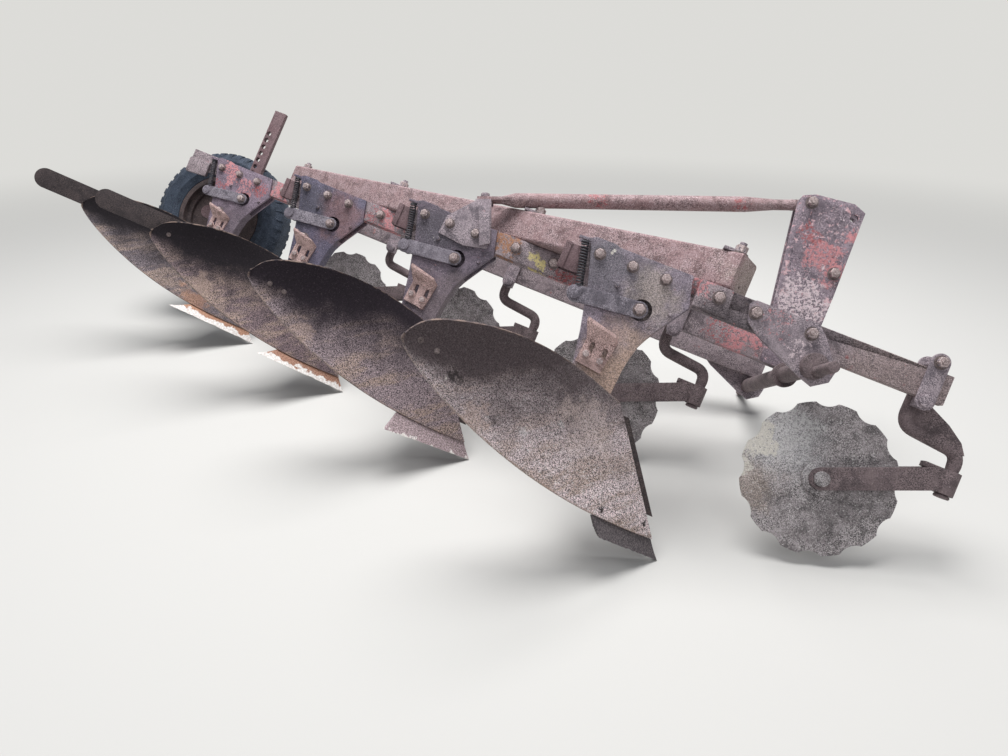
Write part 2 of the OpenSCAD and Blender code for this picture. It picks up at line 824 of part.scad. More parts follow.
module wheel_rim() parked() color("#4a4036")
    translate([wheel_x, wheel_y, wheel_z])
        rotate([90, 0, 0])
            difference() {
                union() {
                    rotate_extrude($fn = 64)
                        polygon([
                            [rim_d / 2, -66], [rim_d / 2, -60], [rim_d / 2 - 16, -58],
                            [rim_d / 2 - 18, -30], [rim_d / 2 - 34, -22], [rim_d / 2 - 34, 22],
                            [rim_d / 2 - 18, 30], [rim_d / 2 - 16, 58], [rim_d / 2, 60],
                            [rim_d / 2, 66], [rim_d / 2 - 22, 64], [rim_d / 2 - 24, 34],
                            [rim_d / 2 - 40, 26], [rim_d / 2 - 40, -26], [rim_d / 2 - 24, -34],
                            [rim_d / 2 - 22, -64]
                        ]);
                    cylinder(d = rim_d - 76, h = 8);
                    translate([0, 0, -40])
                        cylinder(d = 90, h = 90);
                }
                translate([0, 0, -60])
                    cylinder(d = 32.2, h = 200);
            }

// Tyre with a row of lugs along each shoulder of its tread
tyre_lugs = 44;
module wheel_tyre() parked() color("#2e3440")
    translate([wheel_x, wheel_y, wheel_z])
        rotate([90, 0, 0]) {
            rotate_extrude($fn = 96)
                polygon([
                    [rim_d / 2 + 0.3, -62], [rim_d / 2 + 30, -tyre_w / 2 + 4], [rim_d / 2 + 64, -tyre_w / 2],
                    [tyre_d / 2 - 40, -tyre_w / 2 + 4], [tyre_d / 2 - 14, -tyre_w / 2 + 20],
                    [tyre_d / 2 - 1, -36], [tyre_d / 2, 0], [tyre_d / 2 - 1, 36],
                    [tyre_d / 2 - 14, tyre_w / 2 - 20], [tyre_d / 2 - 40, tyre_w / 2 - 4],
                    [rim_d / 2 + 64, tyre_w / 2], [rim_d / 2 + 30, tyre_w / 2 - 4], [rim_d / 2 + 0.3, 62]
                ]);
            for (i = [0:tyre_lugs - 1], m = [0, 1])
                rotate([0, 0, 360 / tyre_lugs * (i + m / 2)])
                    mirror([0, 0, m])
                        translate([tyre_d / 2 - 32, -11, 34])
                            rotate([0, 15, 0])
                                cube([30, 22, 32]);
        }

main_tube();
tube_clamps();
beam(1);  // beam_1
beam(2);  // beam_2
beam(3);  // beam_3
beam(4);  // beam_4
standard(1);  // standard_1
standard(2);  // standard_2
standard(3);  // standard_3
standard(4);  // standard_4
trip_links();
trip_springs();
spring_boxes();
trash_brackets();
moldboard(1);  // moldboard_1
moldboard(2);  // moldboard_2
moldboard(3);  // moldboard_3
moldboard(4);  // moldboard_4
share(1);  // share_1
share(2);  // share_2
share(3);  // share_3
share(4);  // share_4
frogs();
landsides();
wing_braces();
tailpiece(3);  // tailpiece_3
tailpiece(4);  // tailpiece_4
hitch_plates();
cross_shaft();
mast();
brace();
brace_bracket();
coulter_clamps();
coulter_shanks();
coulter_yoke(1);  // coulter_yoke_1
coulter_yoke(2);  // coulter_yoke_2
coulter_yoke(3);  // coulter_yoke_3
coulter_yoke(4);  // coulter_yoke_4
coulter_disc(1);  // coulter_disc_1
coulter_disc(2);  // coulter_disc_2
coulter_disc(3);  // coulter_disc_3
coulter_disc(4);  // coulter_disc_4
wheel_leg();
wheel_bracket();
wheel_rim();
wheel_tyre();
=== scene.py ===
# %% [markdown]
# # A moldboard plough, dressed for its portrait
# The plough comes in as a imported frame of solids. This script gives every solid a finish, and swaps the
# ones that were kept plain for finer pieces: smooth moldboards, wound springs, a tyre with its tread.
# Everything is in metres. The plough is drawn level in the workshop and lies tipped in the yard, so most
# places are first named in the level frame, in millimetres, and then tipped.

# %% The frame
import json
import math
from contextlib import contextmanager
import bpy
import bmesh
from mathutils import Matrix, Vector, noise

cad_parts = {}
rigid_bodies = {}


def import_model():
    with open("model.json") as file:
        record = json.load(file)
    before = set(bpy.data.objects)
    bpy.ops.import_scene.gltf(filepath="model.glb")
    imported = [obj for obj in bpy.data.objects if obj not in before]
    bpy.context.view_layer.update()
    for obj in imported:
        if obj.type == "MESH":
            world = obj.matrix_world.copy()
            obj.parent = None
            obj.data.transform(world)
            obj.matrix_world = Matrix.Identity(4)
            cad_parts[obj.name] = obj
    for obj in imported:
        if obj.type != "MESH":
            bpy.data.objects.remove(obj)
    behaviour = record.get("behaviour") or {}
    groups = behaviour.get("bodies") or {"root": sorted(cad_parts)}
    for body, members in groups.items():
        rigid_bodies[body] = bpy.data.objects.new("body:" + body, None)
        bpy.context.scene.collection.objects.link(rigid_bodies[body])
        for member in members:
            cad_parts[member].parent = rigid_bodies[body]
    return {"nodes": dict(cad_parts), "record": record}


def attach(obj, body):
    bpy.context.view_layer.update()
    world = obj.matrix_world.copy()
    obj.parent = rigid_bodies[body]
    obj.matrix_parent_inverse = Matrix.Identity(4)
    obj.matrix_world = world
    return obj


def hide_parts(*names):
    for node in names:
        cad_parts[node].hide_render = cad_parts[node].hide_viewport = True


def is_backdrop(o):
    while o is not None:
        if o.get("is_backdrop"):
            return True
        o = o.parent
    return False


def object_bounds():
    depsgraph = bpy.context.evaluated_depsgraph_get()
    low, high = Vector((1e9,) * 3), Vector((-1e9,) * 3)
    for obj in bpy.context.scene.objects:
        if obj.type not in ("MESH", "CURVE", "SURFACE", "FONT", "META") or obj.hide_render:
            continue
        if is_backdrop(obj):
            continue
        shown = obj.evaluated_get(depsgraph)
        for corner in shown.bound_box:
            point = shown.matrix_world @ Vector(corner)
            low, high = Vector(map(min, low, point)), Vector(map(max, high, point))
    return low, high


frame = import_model()
cad_box = [list(corner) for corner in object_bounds()]
print("solids:", len(frame["nodes"]), "box:", [[round(v, 3) for v in c] for c in cad_box])

# %% [markdown]
# ## From the level plough to the parked plough
# The plough lies on its four share points and on the end of its left hitch pin. The line through the
# share points is the axis of the tilt. Level places are measured from the rear bolt of the first
# standard, and the parked frame has its zero at the right hitch pin.

# %% Tilt
FURROW, PITCH = 406.0, 635.0  # the step from one bottom to the next, sideways and back
FLOOR = -700.0  # level ground under the share points
SHARE_POINT = (459, 52, FLOOR)
BOTTOMS = (1, 2, 3, 4)
TILT = math.radians(33.1751)
TRAIL = Vector((-PITCH, FURROW, 0)).normalized()
PIN = Vector((632.0, -30.0, -81.0))
TIP = Matrix.Rotation(TILT, 4, TRAIL) @ Matrix.Translation(-PIN)


def bottom_shift(k):
    return Vector((-PITCH * (k - 1), FURROW * (k - 1), 0))


def yard(point, k=1):
    """A level place on bottom k, in millimetres, as a parked place in metres."""
    return (TIP @ (Vector(point) + bottom_shift(k))) / 1000


def yard_way(way):
    """A level direction as a parked direction."""
    return (TIP.to_3x3() @ Vector(way)).normalized()


print("share points stand at z =", [round(yard(SHARE_POINT, k).z, 4) for k in BOTTOMS])

# %% [markdown]
# ## Camera
# The camera stands where the photographer stood: about 2.1 m from the right hitch pin, a little above
# the plough, looking down along its row of bottoms.

# %% Camera
EYE = Vector((-0.388, -1.887, 0.755))
LOOK = Vector((-0.205, 0.892, -0.404)).normalized()
PHOTO_W, FOCAL_PX, SENSOR = 1008, 746.2, 36.0
cam_data = bpy.data.cameras.new("yard_camera")
cam_data.sensor_fit = "HORIZONTAL"
cam_data.sensor_width = SENSOR
cam_data.lens = FOCAL_PX / PHOTO_W * SENSOR
camera = bpy.data.objects.new("yard_camera", cam_data)
camera.location = EYE
camera.rotation_euler = LOOK.to_track_quat("-Z", "Y").to_euler()
bpy.context.scene.collection.objects.link(camera)
bpy.context.scene.camera = camera
print("lens", round(cam_data.lens, 2), "mm")

# %% [markdown]
# ## Floor, sky and light
# A pale floor under an overcast sky: one broad soft light from above, a weaker one from the camera's
# side, and an even pale world behind it all. Far from the plough the floor's colour runs into the
# colour of the backdrop, so no horizon shows.

# %% One helper for every node tree
class Nodes:
    """Adds nodes to a tree and feeds their sockets, each with a value or with another socket."""

    def __init__(self, tree):
        self.tree = tree

    def feed(self, socket, value):
        if isinstance(value, bpy.types.NodeSocket):
            self.tree.links.new(value, socket)
        elif isinstance(value, (tuple, list)):
            colour = len(value) == 3 and len(socket.default_value) == 4
            socket.default_value = (*value, 1) if colour else value
        else:
            socket.default_value = value

    def add(self, kind, feeds=None, **values):
        node = self.tree.nodes.new(kind)
        for key, value in values.items():
            setattr(node, key, value)
        for key, value in (feeds or {}).items():
            self.feed(node.inputs[key], value)
        return node


# %% The floor
bpy.context.scene.view_settings.view_transform = "Standard"
BACKDROP = (0.72, 0.715, 0.69)
FLOOR_X, FLOOR_Y, FLOOR_Z = -1.3, 4.0, cad_box[0][2]
FLOOR_REACH = 30
PLOUGH_Y = 0.5
FADE_FROM, FADE_TO = 2.2, 8.0  # metres from the plough


def link(obj):
    """Put an object into the scene."""
    bpy.context.scene.collection.objects.link(obj)
    return obj


def floor_finish():
    """Pale ground that turns into the backdrop's colour far from the plough."""
    mat = bpy.data.materials.new("pale_floor")
    mat.use_nodes = True
    n = Nodes(mat.node_tree)
    shader = n.tree.nodes["Principled BSDF"]
    n.feed(shader.inputs["Base Color"], (0.56, 0.55, 0.53))
    n.feed(shader.inputs["Roughness"], 0.9)
    far = n.add("ShaderNodeEmission", {"Color": BACKDROP})
    place = n.add("ShaderNodeTexCoord")
    gap = n.add("ShaderNodeVectorMath", {0: place.outputs["Object"], 1: (FLOOR_X, PLOUGH_Y, FLOOR_Z)},
                operation="DISTANCE")
    ramp = n.add("ShaderNodeMapRange", {
        "Value": gap.outputs["Value"], "From Min": FADE_FROM, "From Max": FADE_TO},
        interpolation_type="SMOOTHSTEP")
    blend = n.add("ShaderNodeMixShader", {0: ramp.outputs[0], 1: shader.outputs[0], 2: far.outputs[0]})
    n.feed(n.tree.nodes["Material Output"].inputs["Surface"], blend.outputs[0])
    return mat


def make_floor():
    mesh = bpy.data.meshes.new("yard_floor")
    corners = [(FLOOR_X + side * FLOOR_REACH, FLOOR_Y + end * FLOOR_REACH, FLOOR_Z)
               for side, end in ((-1, -1), (1, -1), (1, 1), (-1, 1))]
    mesh.from_pydata(corners, [], [(0, 1, 2, 3)])
    mesh.materials.append(floor_finish())
    floor = link(bpy.data.objects.new("yard_floor", mesh))
    floor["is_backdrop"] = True


make_floor()
print("floor at z =", round(FLOOR_Z, 4))

# %% The lights
AIM = Vector((-1.2, 0.6, 0))


def area_light(name, place, size, power):
    data = bpy.data.lights.new(name, "AREA")
    data.shape, data.size, data.energy = "DISK", size, power
    lamp = link(bpy.data.objects.new(name, data))
    lamp.location = place
    lamp.rotation_euler = (AIM - Vector(place)).to_track_quat("-Z", "Y").to_euler()
    print("light", name, power, "W")


area_light("sky", (-1.3, 1.3, 5.2), 4.2, 500)
area_light("yard_side", (1.4, -4.6, 4.0), 3.0, 70)

# %% The world
SKY_TINT, SKY_STRENGTH = (0.88, 0.93, 1.0), 0.32


def make_world():
    """Camera and mirror rays see the backdrop, all other rays the sky's tint."""
    world = bpy.data.worlds.new("overcast")
    bpy.context.scene.world = world
    world.use_nodes = True
    n = Nodes(world.node_tree)
    n.tree.nodes.clear()
    seen = n.add("ShaderNodeLightPath")
    fill = n.add("ShaderNodeBackground", {"Color": SKY_TINT, "Strength": SKY_STRENGTH})
    behind = n.add("ShaderNodeBackground", {"Color": BACKDROP, "Strength": 1.0})
    sees = seen.outputs["Is Camera Ray"]
    for ray in ("Is Glossy Ray", "Is Transmission Ray"):
        sees = n.add("ShaderNodeMath", {0: sees, 1: seen.outputs[ray]}, operation="MAXIMUM").outputs[0]
    mix = n.add("ShaderNodeMixShader", {0: sees, 1: fill.outputs[0], 2: behind.outputs[0]})
    n.add("ShaderNodeOutputWorld", {"Surface": mix.outputs[0]})


make_world()

# %% [markdown]
# ## Finishes
# A finish is built in layers, as weather builds it. Below lies grained rust in two browns with darker
# blotches. Old paint lies on top in flakes with ragged edges. Pale dust gathers in specks. Roughness
# and bump come from the same noise, so a flake catches the light along its rim.

# %% The paint box
class Paint(Nodes):
    """Builds one material. Its sizes are in millimetres."""

    def __init__(self, name):
        self.mat = bpy.data.materials.new(name)
        self.mat.use_nodes = True
        super().__init__(self.mat.node_tree)
        self.tree.nodes.clear()
        self.place = self.add("ShaderNodeTexCoord").outputs["Object"]

    def noise(self, size, detail, rough, warp=0.0, squash=(1, 1, 1), shift=0.0):
        """Noise with features about this size across."""
        moved = self.add("ShaderNodeMapping", {
            "Vector": self.place, "Location": (shift, shift * 0.7, -shift), "Scale": squash})
        return self.add("ShaderNodeTexNoise", {
            "Vector": moved.outputs[0], "Scale": 1000.0 / size, "Detail": detail,
            "Roughness": rough, "Distortion": warp}).outputs["Fac"]

    def step(self, value, low, high):
        """0 below low, 1 above high."""
        return self.add("ShaderNodeMapRange", {"Value": value, "From Min": low, "From Max": high},
                        interpolation_type="SMOOTHSTEP").outputs["Result"]

    def mix(self, share, a, b):
        return self.add("ShaderNodeMix", {0: share, 6: a, 7: b}, data_type="RGBA").outputs[2]

    def calc(self, operation, a, b):
        return self.add("ShaderNodeMath", {0: a, 1: b}, operation=operation).outputs[0]

    def times(self, a, b):
        return self.calc("MULTIPLY", a, b)

    def over(self, colour, tone, value, low, high, strength):
        """Lay a tone over a colour where the value is high."""
        return self.mix(self.times(self.step(value, low, high), strength), colour, tone)

    def spot(self, centre, radius, ragged=1.1, soft=0.15):
        """1 inside a ragged spot about a place in the yard, 0 outside."""
        gap = self.add("ShaderNodeVectorMath", {0: self.place, 1: tuple(centre)}, operation="DISTANCE")
        reach = self.times(gap.outputs["Value"], 1000.0 / radius)
        edge = self.times(self.calc("SUBTRACT", self.noise(radius * 0.9, 7, 0.66), 0.5), ragged * 4)
        return self.calc("SUBTRACT", 1.0, self.step(self.calc("ADD", reach, edge), 1 - soft, 1 + soft))

    def surface(self):
        """The piece's own map: along it, and up it from its lower edge."""
        place = self.add("ShaderNodeUVMap", uv_map="along_and_up").outputs[0]
        parts = self.add("ShaderNodeSeparateXYZ", {0: place})
        return parts.outputs[0], parts.outputs[1]

    def height(self, pairs):
        """Sum of noise values times depths, as one height."""
        total = None
        for value, depth in pairs:
            part = self.times(value, depth)
            total = part if total is None else self.calc("ADD", total, part)
        return total

    def shade(self, colour, rough, height, metal, specular=0.5):
        """Close the material."""
        bump = self.add("ShaderNodeBump", {"Distance": 0.001, "Strength": 1.0, "Height": height})
        shader = self.add("ShaderNodeBsdfPrincipled", {
            "Base Color": colour, "Roughness": rough, "Metallic": metal,
            "Specular IOR Level": specular, "Normal": bump.outputs[0]})
        self.add("ShaderNodeOutputMaterial", {"Surface": shader.outputs[0]})
        return self.mat


# %% [markdown]
# ### Rust with what is left of its paint
# One recipe serves most of the plough. Its colours are the dark and the light of the grain, the large
# blotches and the dust. The grain is about 3 mm across and breaks up into ever smaller grains, so it
# shows from two metres and from close by. A broader wear lets the grain run lighter or darker. Where
# paint is left, its share says how much of the surface it still covers. A patch says where a larger
# piece of some colour has stayed on, how far it reaches, and how much of it is left between the holes
# where it has chipped off. A stain is softer: it tints the grain that it lies on, and some stains are
# painted shade where a part lies in shadow. Bolts are darker round them, a ring of painted shade with
# grime, on the faces marked as their seam.

# %% The layers of the rust
BLACK = (0.028, 0.021, 0.026)


def toned(colour, share):
    """A colour made darker or lighter."""
    return tuple(c * share for c in colour)


def level_for(share, spread=0.34):
    """The value of a noise above which about this share of the surface lies."""
    return 0.5 + (0.5 - share) * spread


def grained(p, fine, seed, dark, light, blotch):
    """The grain in two browns, with blotches, and with wear that lightens and darkens it."""
    cloud = p.noise(95, 6, 0.66, warp=0.4, shift=seed + 2)
    colour = p.mix(p.step(fine, 0.43, 0.58), dark, light)
    colour = p.over(colour, blotch, cloud, 0.42, 0.60, 0.62)
    wear = p.noise(38, 7, 0.62, warp=0.5, shift=seed + 8)
    colour = p.over(colour, toned(light, 0.85), wear, 0.50, 0.66, 0.42)
    return p.over(colour, dark, wear, 0.50, 0.34, 0.62)


def stained_and_shaded(p, fine, colour, stains):
    """Each stain tints the grain under it; some stains are painted shade."""
    for centre, radius, tone, strength in stains:
        grains = p.mix(p.step(fine, 0.42, 0.60), toned(tone, 0.4), toned(tone, 1.15))
        colour = p.mix(p.times(p.spot(centre, radius, 0.7, 0.5), strength), colour, grains)
    return colour


def flecked(p, colour, tone, flecks, share, soft, strength):
    """Flecks of a tone over a share of the surface, where a noise is high."""
    level = level_for(share)
    return p.over(colour, tone, flecks, level, level + soft, strength)


# %% Rust
def rust(name, dark, light, blotch, dust, dust_share, seed, paint=None, paint_share=0.0, paint_size=26,
         grain=3.2, gloss=0.0, patches=(), stains=(), black=0.0, seam=False, specular=0.38):
    p = Paint(name)
    fine = p.noise(grain, 6, 0.78, shift=seed)
    pits = p.noise(grain * 3, 5, 0.74, shift=seed + 1)
    colour = stained_and_shaded(p, fine, grained(p, fine, seed, dark, light, blotch), stains)
    colour = p.over(colour, dark, pits, 0.54, 0.66, 0.42)
    rough = p.calc("SUBTRACT", 0.84 - gloss, p.times(fine, 0.2))
    relief = [(fine, 0.9), (pits, 1.3)]
    if paint:
        flake = p.noise(paint_size, 8, 0.66, warp=0.2, shift=seed + 3)
        level = level_for(paint_share, 0.42)
        cover = p.step(flake, level, level + 0.02)
        coat = p.mix(p.step(p.noise(9, 6, 0.7, shift=seed + 4), 0.4, 0.6), *paint)
        colour = p.mix(cover, colour, p.mix(p.step(fine, 0.56, 0.64), coat, light))
        rough = p.calc("SUBTRACT", rough, p.times(cover, 0.14))
        relief.append((cover, 0.35))
    chips = p.noise(9, 6, 0.76, shift=seed + 7)
    for centre, radius, tone, left in patches:
        level = level_for(left)
        patch = p.times(p.spot(centre, radius), p.step(chips, level + 0.02, level - 0.02))
        colour = p.mix(patch, colour, p.mix(p.step(fine, 0.40, 0.62), toned(tone, 0.72), tone))
        relief.append((patch, 0.25))
    colour = flecked(p, colour, dust, p.noise(4.5, 4, 0.78, shift=seed + 5), dust_share, 0.05, 0.75)
    if black:
        colour = flecked(p, colour, BLACK, p.noise(7, 5, 0.74, shift=seed + 6), black, 0.04, 0.8)
    # The faces marked as seam get a dark ring round each bolt: painted shade with grime.
    if seam:
        ring = p.add("ShaderNodeAttribute", attribute_name="seam")
        colour = p.mix(p.times(ring.outputs["Fac"], 0.72), colour, toned(dark, 0.35))
    return p.shade(colour, rough, p.height(relief), metal=0.1, specular=specular)


# %% Finishes of the tube and the beams
RED, SALMON, PINK, CREAM = (0.42, 0.125, 0.13), (0.62, 0.27, 0.285), (0.80, 0.665, 0.70), (0.68, 0.64, 0.58)
TAN, ORANGE = (0.44, 0.32, 0.265), (0.44, 0.22, 0.125)
BEAM_Y, STANDARD_Y, DISC_Y = 12, 0, 72  # right faces of these pieces in the level frame
finish = {}


def add_finish(name, *tones, **more):
    finish[name] = rust(name, *tones, **more)


def marks(k, y, rows):
    """Marks on an upright face at y on bottom k, from rows of x, z, radius, colour and how much."""
    return [(yard((x, y, z), k), radius, tone, much) for x, z, radius, tone, much in rows]


add_finish("tube_rust", (0.092, 0.055, 0.058), (0.53, 0.385, 0.395), (0.30, 0.185, 0.190),
           (0.66, 0.54, 0.55), 0.30, seed=1, black=0.14,
           stains=marks(1, 90, [(430, 80, 110, (0.50, 0.42, 0.375), 0.75)]),
           patches=marks(3, 28, [(-100, 140, 150, SALMON, 0.80)])
           + marks(2, 6, [(523, 260, 30, RED, 0.55), (954, 401, 24, RED, 0.55)]))
beam_patches = marks(1, BEAM_Y, [(287, 14, 34, SALMON, 0.5)])
beam_patches += marks(2, BEAM_Y, [
    (1115, 10, 62, SALMON, 0.42), (1035, 16, 48, RED, 0.62), (300, 12, 48, ORANGE, 0.45),
    (520, -40, 50, RED, 0.5), (417, -9, 33, (0.66, 0.56, 0.26), 0.3)])
beam_patches += marks(3, BEAM_Y, [(380, -10, 46, SALMON, 0.42), (315, -12, 50, RED, 0.6)])
beam_patches += marks(4, BEAM_Y, [(310, -10, 46, SALMON, 0.42)])
add_finish("beam_paint", (0.070, 0.056, 0.066), (0.48, 0.395, 0.415), (0.25, 0.198, 0.215),
           (0.48, 0.40, 0.42), 0.20, seed=2, black=0.14,
           paint=((0.24, 0.088, 0.088), (0.38, 0.20, 0.20)), paint_share=0.17, patches=beam_patches,
           # Beam 1's second stain, dark and low, is painted shade on the beam's lower part.
           stains=marks(1, BEAM_Y, [(840, 0, 150, (0.44, 0.335, 0.315), 0.55),
                                    (400, -70, 90, (0.10, 0.085, 0.095), 0.85)]))
print("finishes:", list(finish))

# %% Finishes of the plates, the links and the mast
add_finish("plate_rust", (0.095, 0.080, 0.098), (0.51, 0.425, 0.455), (0.27, 0.222, 0.248),
           (0.50, 0.43, 0.46), 0.18, seed=3, black=0.14,
           paint=((0.24, 0.11, 0.12), (0.36, 0.24, 0.26)), paint_share=0.14,
           patches=marks(1, STANDARD_Y, [(585, -30, 34, PINK, 0.6), (500, 0, 40, SALMON, 0.72)]))
add_finish("link_rust", (0.060, 0.053, 0.068), (0.34, 0.305, 0.35), (0.165, 0.145, 0.175),
           (0.42, 0.37, 0.40), 0.10, seed=16, gloss=0.12, black=0.12)
add_finish("mast_paint", (0.070, 0.056, 0.072), (0.42, 0.335, 0.385), (0.215, 0.170, 0.205),
           (0.66, 0.56, 0.59), 0.24, seed=4, black=0.20,
           paint=((0.50, 0.27, 0.29), (0.66, 0.47, 0.50)), paint_share=0.32, paint_size=16,
           patches=marks(1, FURROW, [
               (618, 340, 52, SALMON, 0.42), (655, 318, 44, SALMON, 0.45), (590, 215, 66, PINK, 0.46),
               (640, 170, 60, PINK, 0.50), (585, 120, 56, PINK, 0.52), (545, 395, 34, RED, 0.55),
               (676, 430, 20, SALMON, 0.3), (610, 440, 50, PINK, 0.78)]))
add_finish("leg_paint", (0.085, 0.052, 0.058), (0.24, 0.160, 0.170), (0.15, 0.088, 0.096),
           (0.42, 0.33, 0.34), 0.16, seed=5, black=0.12,
           paint=((0.24, 0.11, 0.12), (0.32, 0.18, 0.20)), paint_share=0.16)
print("finishes:", list(finish))

# %% Finishes of the bottoms, the small parts, the coulters and the wheel
add_finish("share_steel", (0.075, 0.050, 0.044), (0.27, 0.18, 0.15), (0.14, 0.095, 0.085),
           (0.50, 0.42, 0.40), 0.16, seed=7)
add_finish("mold_rust", (0.020, 0.016, 0.018), (0.088, 0.066, 0.066), (0.040, 0.031, 0.034),
           (0.26, 0.19, 0.15), 0.10, seed=6)
add_finish("casting_rust", (0.026, 0.021, 0.022), (0.10, 0.072, 0.070), (0.050, 0.038, 0.040),
           (0.22, 0.18, 0.17), 0.10, seed=8)
add_finish("bracket_rust", (0.182, 0.114, 0.104), (0.840, 0.602, 0.574), (0.570, 0.398, 0.375),
           (0.60, 0.48, 0.45), 0.20, seed=9, black=0.05)
add_finish("bolt_rust", (0.16, 0.120, 0.118), (0.60, 0.485, 0.475), (0.40, 0.31, 0.305),
           # Bolts get the dark seam ring: painted shade with grime.
           (0.84, 0.76, 0.75), 0.26, seed=15, grain=3, gloss=0.25, seam=True)
add_finish("spring_steel", (0.013, 0.013, 0.017), (0.101, 0.092, 0.110), (0.032, 0.032, 0.038),
           (0.13, 0.115, 0.12), 0.05, seed=10, gloss=0.24)
add_finish("arm_rust", (0.060, 0.046, 0.050), (0.27, 0.205, 0.210), (0.150, 0.112, 0.118),
           (0.44, 0.37, 0.37), 0.16, seed=11, black=0.12)
add_finish("disc_steel", (0.060, 0.053, 0.055), (0.540, 0.488, 0.495), (0.190, 0.166, 0.171),
           (0.72, 0.69, 0.68), 0.26, seed=12, black=0.16,
           stains=marks(1, DISC_Y, [(620, -260, 110, (0.62, 0.60, 0.61), 0.7),
                                    (600, -420, 70, (0.46, 0.37, 0.31), 0.5)]),
           patches=marks(1, DISC_Y, [(594, -287, 42, CREAM, 0.25), (566, -370, 26, CREAM, 0.3),
                                     (650, -230, 60, (0.60, 0.58, 0.58), 0.50)]))
add_finish("rim_rust", (0.026, 0.020, 0.022), (0.12, 0.086, 0.084), (0.060, 0.043, 0.043),
           (0.34, 0.27, 0.24), 0.10, seed=13)
add_finish("tyre", (0.013, 0.018, 0.028), (0.066, 0.084, 0.120), (0.034, 0.045, 0.067),
           (0.24, 0.27, 0.32), 0.12, seed=14, gloss=0.05, specular=0.25)
print("finishes:", len(finish))

# %% [markdown]
# ### Four standards, four tones
# The four standards share one recipe, and each multiplies its browns by a tint of its own and has its
# own stains and patches of paint. The tint is partly each standard's own rust tone and partly painted
# light and shade: lighter where the sky's sheen falls on it, darker and bluer in shade. The dark bluish
# stains near the tops, under the beams, are painted shade.

# %% Finishes of the standards
def standard_rust(k, light_and_tone, stains, patches=()):
    """The plate rust in a standard's own tone, with its painted light and shade."""
    lit_and_toned = lambda colour: tuple(a * b for a, b in zip(colour, light_and_tone))
    return rust(f"standard_{k}_rust", lit_and_toned((0.080, 0.068, 0.082)), lit_and_toned((0.37, 0.31, 0.35)),
                lit_and_toned((0.160, 0.132, 0.156)), (0.54, 0.47, 0.50), 0.16, seed=30 + k,
                paint=((0.24, 0.10, 0.11), (0.38, 0.22, 0.23)), paint_share=0.08, black=0.18, gloss=0.10,
                stains=marks(k, STANDARD_Y, stains), patches=marks(k, STANDARD_Y, patches))


# Each tint below is partly painted light and shade; the dark bluish stains near the tops are painted shade
# under the beams.
own_finish = {
    "standard_1": standard_rust(1, (1.15, 1.15, 1.20), [
        (205, -250, 120, (0.54, 0.39, 0.32), 0.85), (165, -45, 70, (0.47, 0.395, 0.36), 0.75),
        (190, -350, 100, (0.58, 0.41, 0.33), 0.9), (20, -20, 90, (0.17, 0.16, 0.185), 0.7)],
        [(32, 27, 4.5, CREAM, 0.1), (29, 19, 4, CREAM, 0.1), (8, -106, 5, CREAM, 0.1)]),
    "standard_2": standard_rust(2, (0.70, 0.67, 0.74), [
        (200, -260, 100, (0.26, 0.205, 0.215), 0.6), (60, -30, 80, (0.10, 0.095, 0.115), 0.6)],
        [(52, -42, 20, CREAM, 0.88)]),
    "standard_3": standard_rust(3, (0.52, 0.55, 0.71), [
        (190, -60, 90, (0.30, 0.16, 0.15), 0.6), (40, -60, 80, (0.075, 0.073, 0.10), 0.7)]),
    "standard_4": standard_rust(4, (0.95, 0.88, 0.98), [(190, -230, 100, (0.16, 0.13, 0.15), 0.6)], [
        (60, 0, 46, SALMON, 0.45), (150, -40, 42, SALMON, 0.52), (215, -30, 34, RED, 0.5),
        (20, -80, 34, RED, 0.6)]),
    "trip_links": finish["link_rust"],
    "spring_boxes": finish["leg_paint"],
}
print("own finishes:", list(own_finish))

# %% [markdown]
# ## Every solid gets its finish
# The record names a finish for every solid. The same name picks the material here, unless the solid has
# a finish of its own.

# %% Dress the solids
slot_of = {part["node"]: part["material_slot"] for part in frame["record"]["subparts"]}
body_of = {node: body for body, nodes in frame["record"]["behaviour"]["bodies"].items() for node in nodes}


def finish_of(name):
    return own_finish.get(name, finish[slot_of[name]])


for name, obj in frame["nodes"].items():
    obj.data.materials.clear()
    obj.data.materials.append(finish_of(name))
print("dressed:", len(slot_of))

# %% [markdown]
# ## Pieces
# Every new piece is closed, faces outward, sits at the origin with its place in its mesh, and rides on
# the body of the solid that it belongs to.

# %% Piece helpers
def settle(name, mesh, body, material, smooth_to=28):
    """Make a finished mesh into a piece of the plough."""
    mesh.name = name
    mesh.materials.clear()
    mesh.materials.append(material)
    for face in mesh.polygons:
        face.use_smooth = True
    mesh.set_sharp_from_angle(angle=math.radians(smooth_to))
    obj = link(bpy.data.objects.new(name, mesh))
    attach(obj, body)
    return obj


@contextmanager
def edited(mesh):
    """Open a mesh for editing, and write the result back into it."""
    bm = bmesh.new()
    bm.from_mesh(mesh)
    yield bm
    bm.to_mesh(mesh)
    bm.free()


def mesh_from(verts, faces):
    """A mesh from a closed form, with its faces turned outward."""
    mesh = bpy.data.meshes.new("draft")
    mesh.from_pydata([tuple(v) for v in verts], [], faces)
    with edited(mesh) as bm:
        bmesh.ops.recalc_face_normals(bm, faces=bm.faces)
    return mesh


def round_edges(mesh, width, angle=38, segments=2):
    """Bevel the outward edges of a closed mesh by a width in millimetres."""
    with edited(mesh) as bm:
        edges = [e for e in bm.edges if len(e.link_faces) == 2 and e.is_convex
                 and e.calc_face_angle(0) > math.radians(angle)]
        bmesh.ops.bevel(bm, geom=edges, offset=width / 1000, segments=segments, profile=0.6,
                        affect="EDGES", clamp_overlap=True)
        return len(edges)


# %% [markdown]
# ### Sawn, forged and welded plates get rounded edges
# Real plate edges are never knife sharp, and a thin rounded edge is what catches the sky. A copy of
# each plain solid has its loose triangles joined, its flat faces merged and its outward edges
# bevelled, and then stands in for the solid.

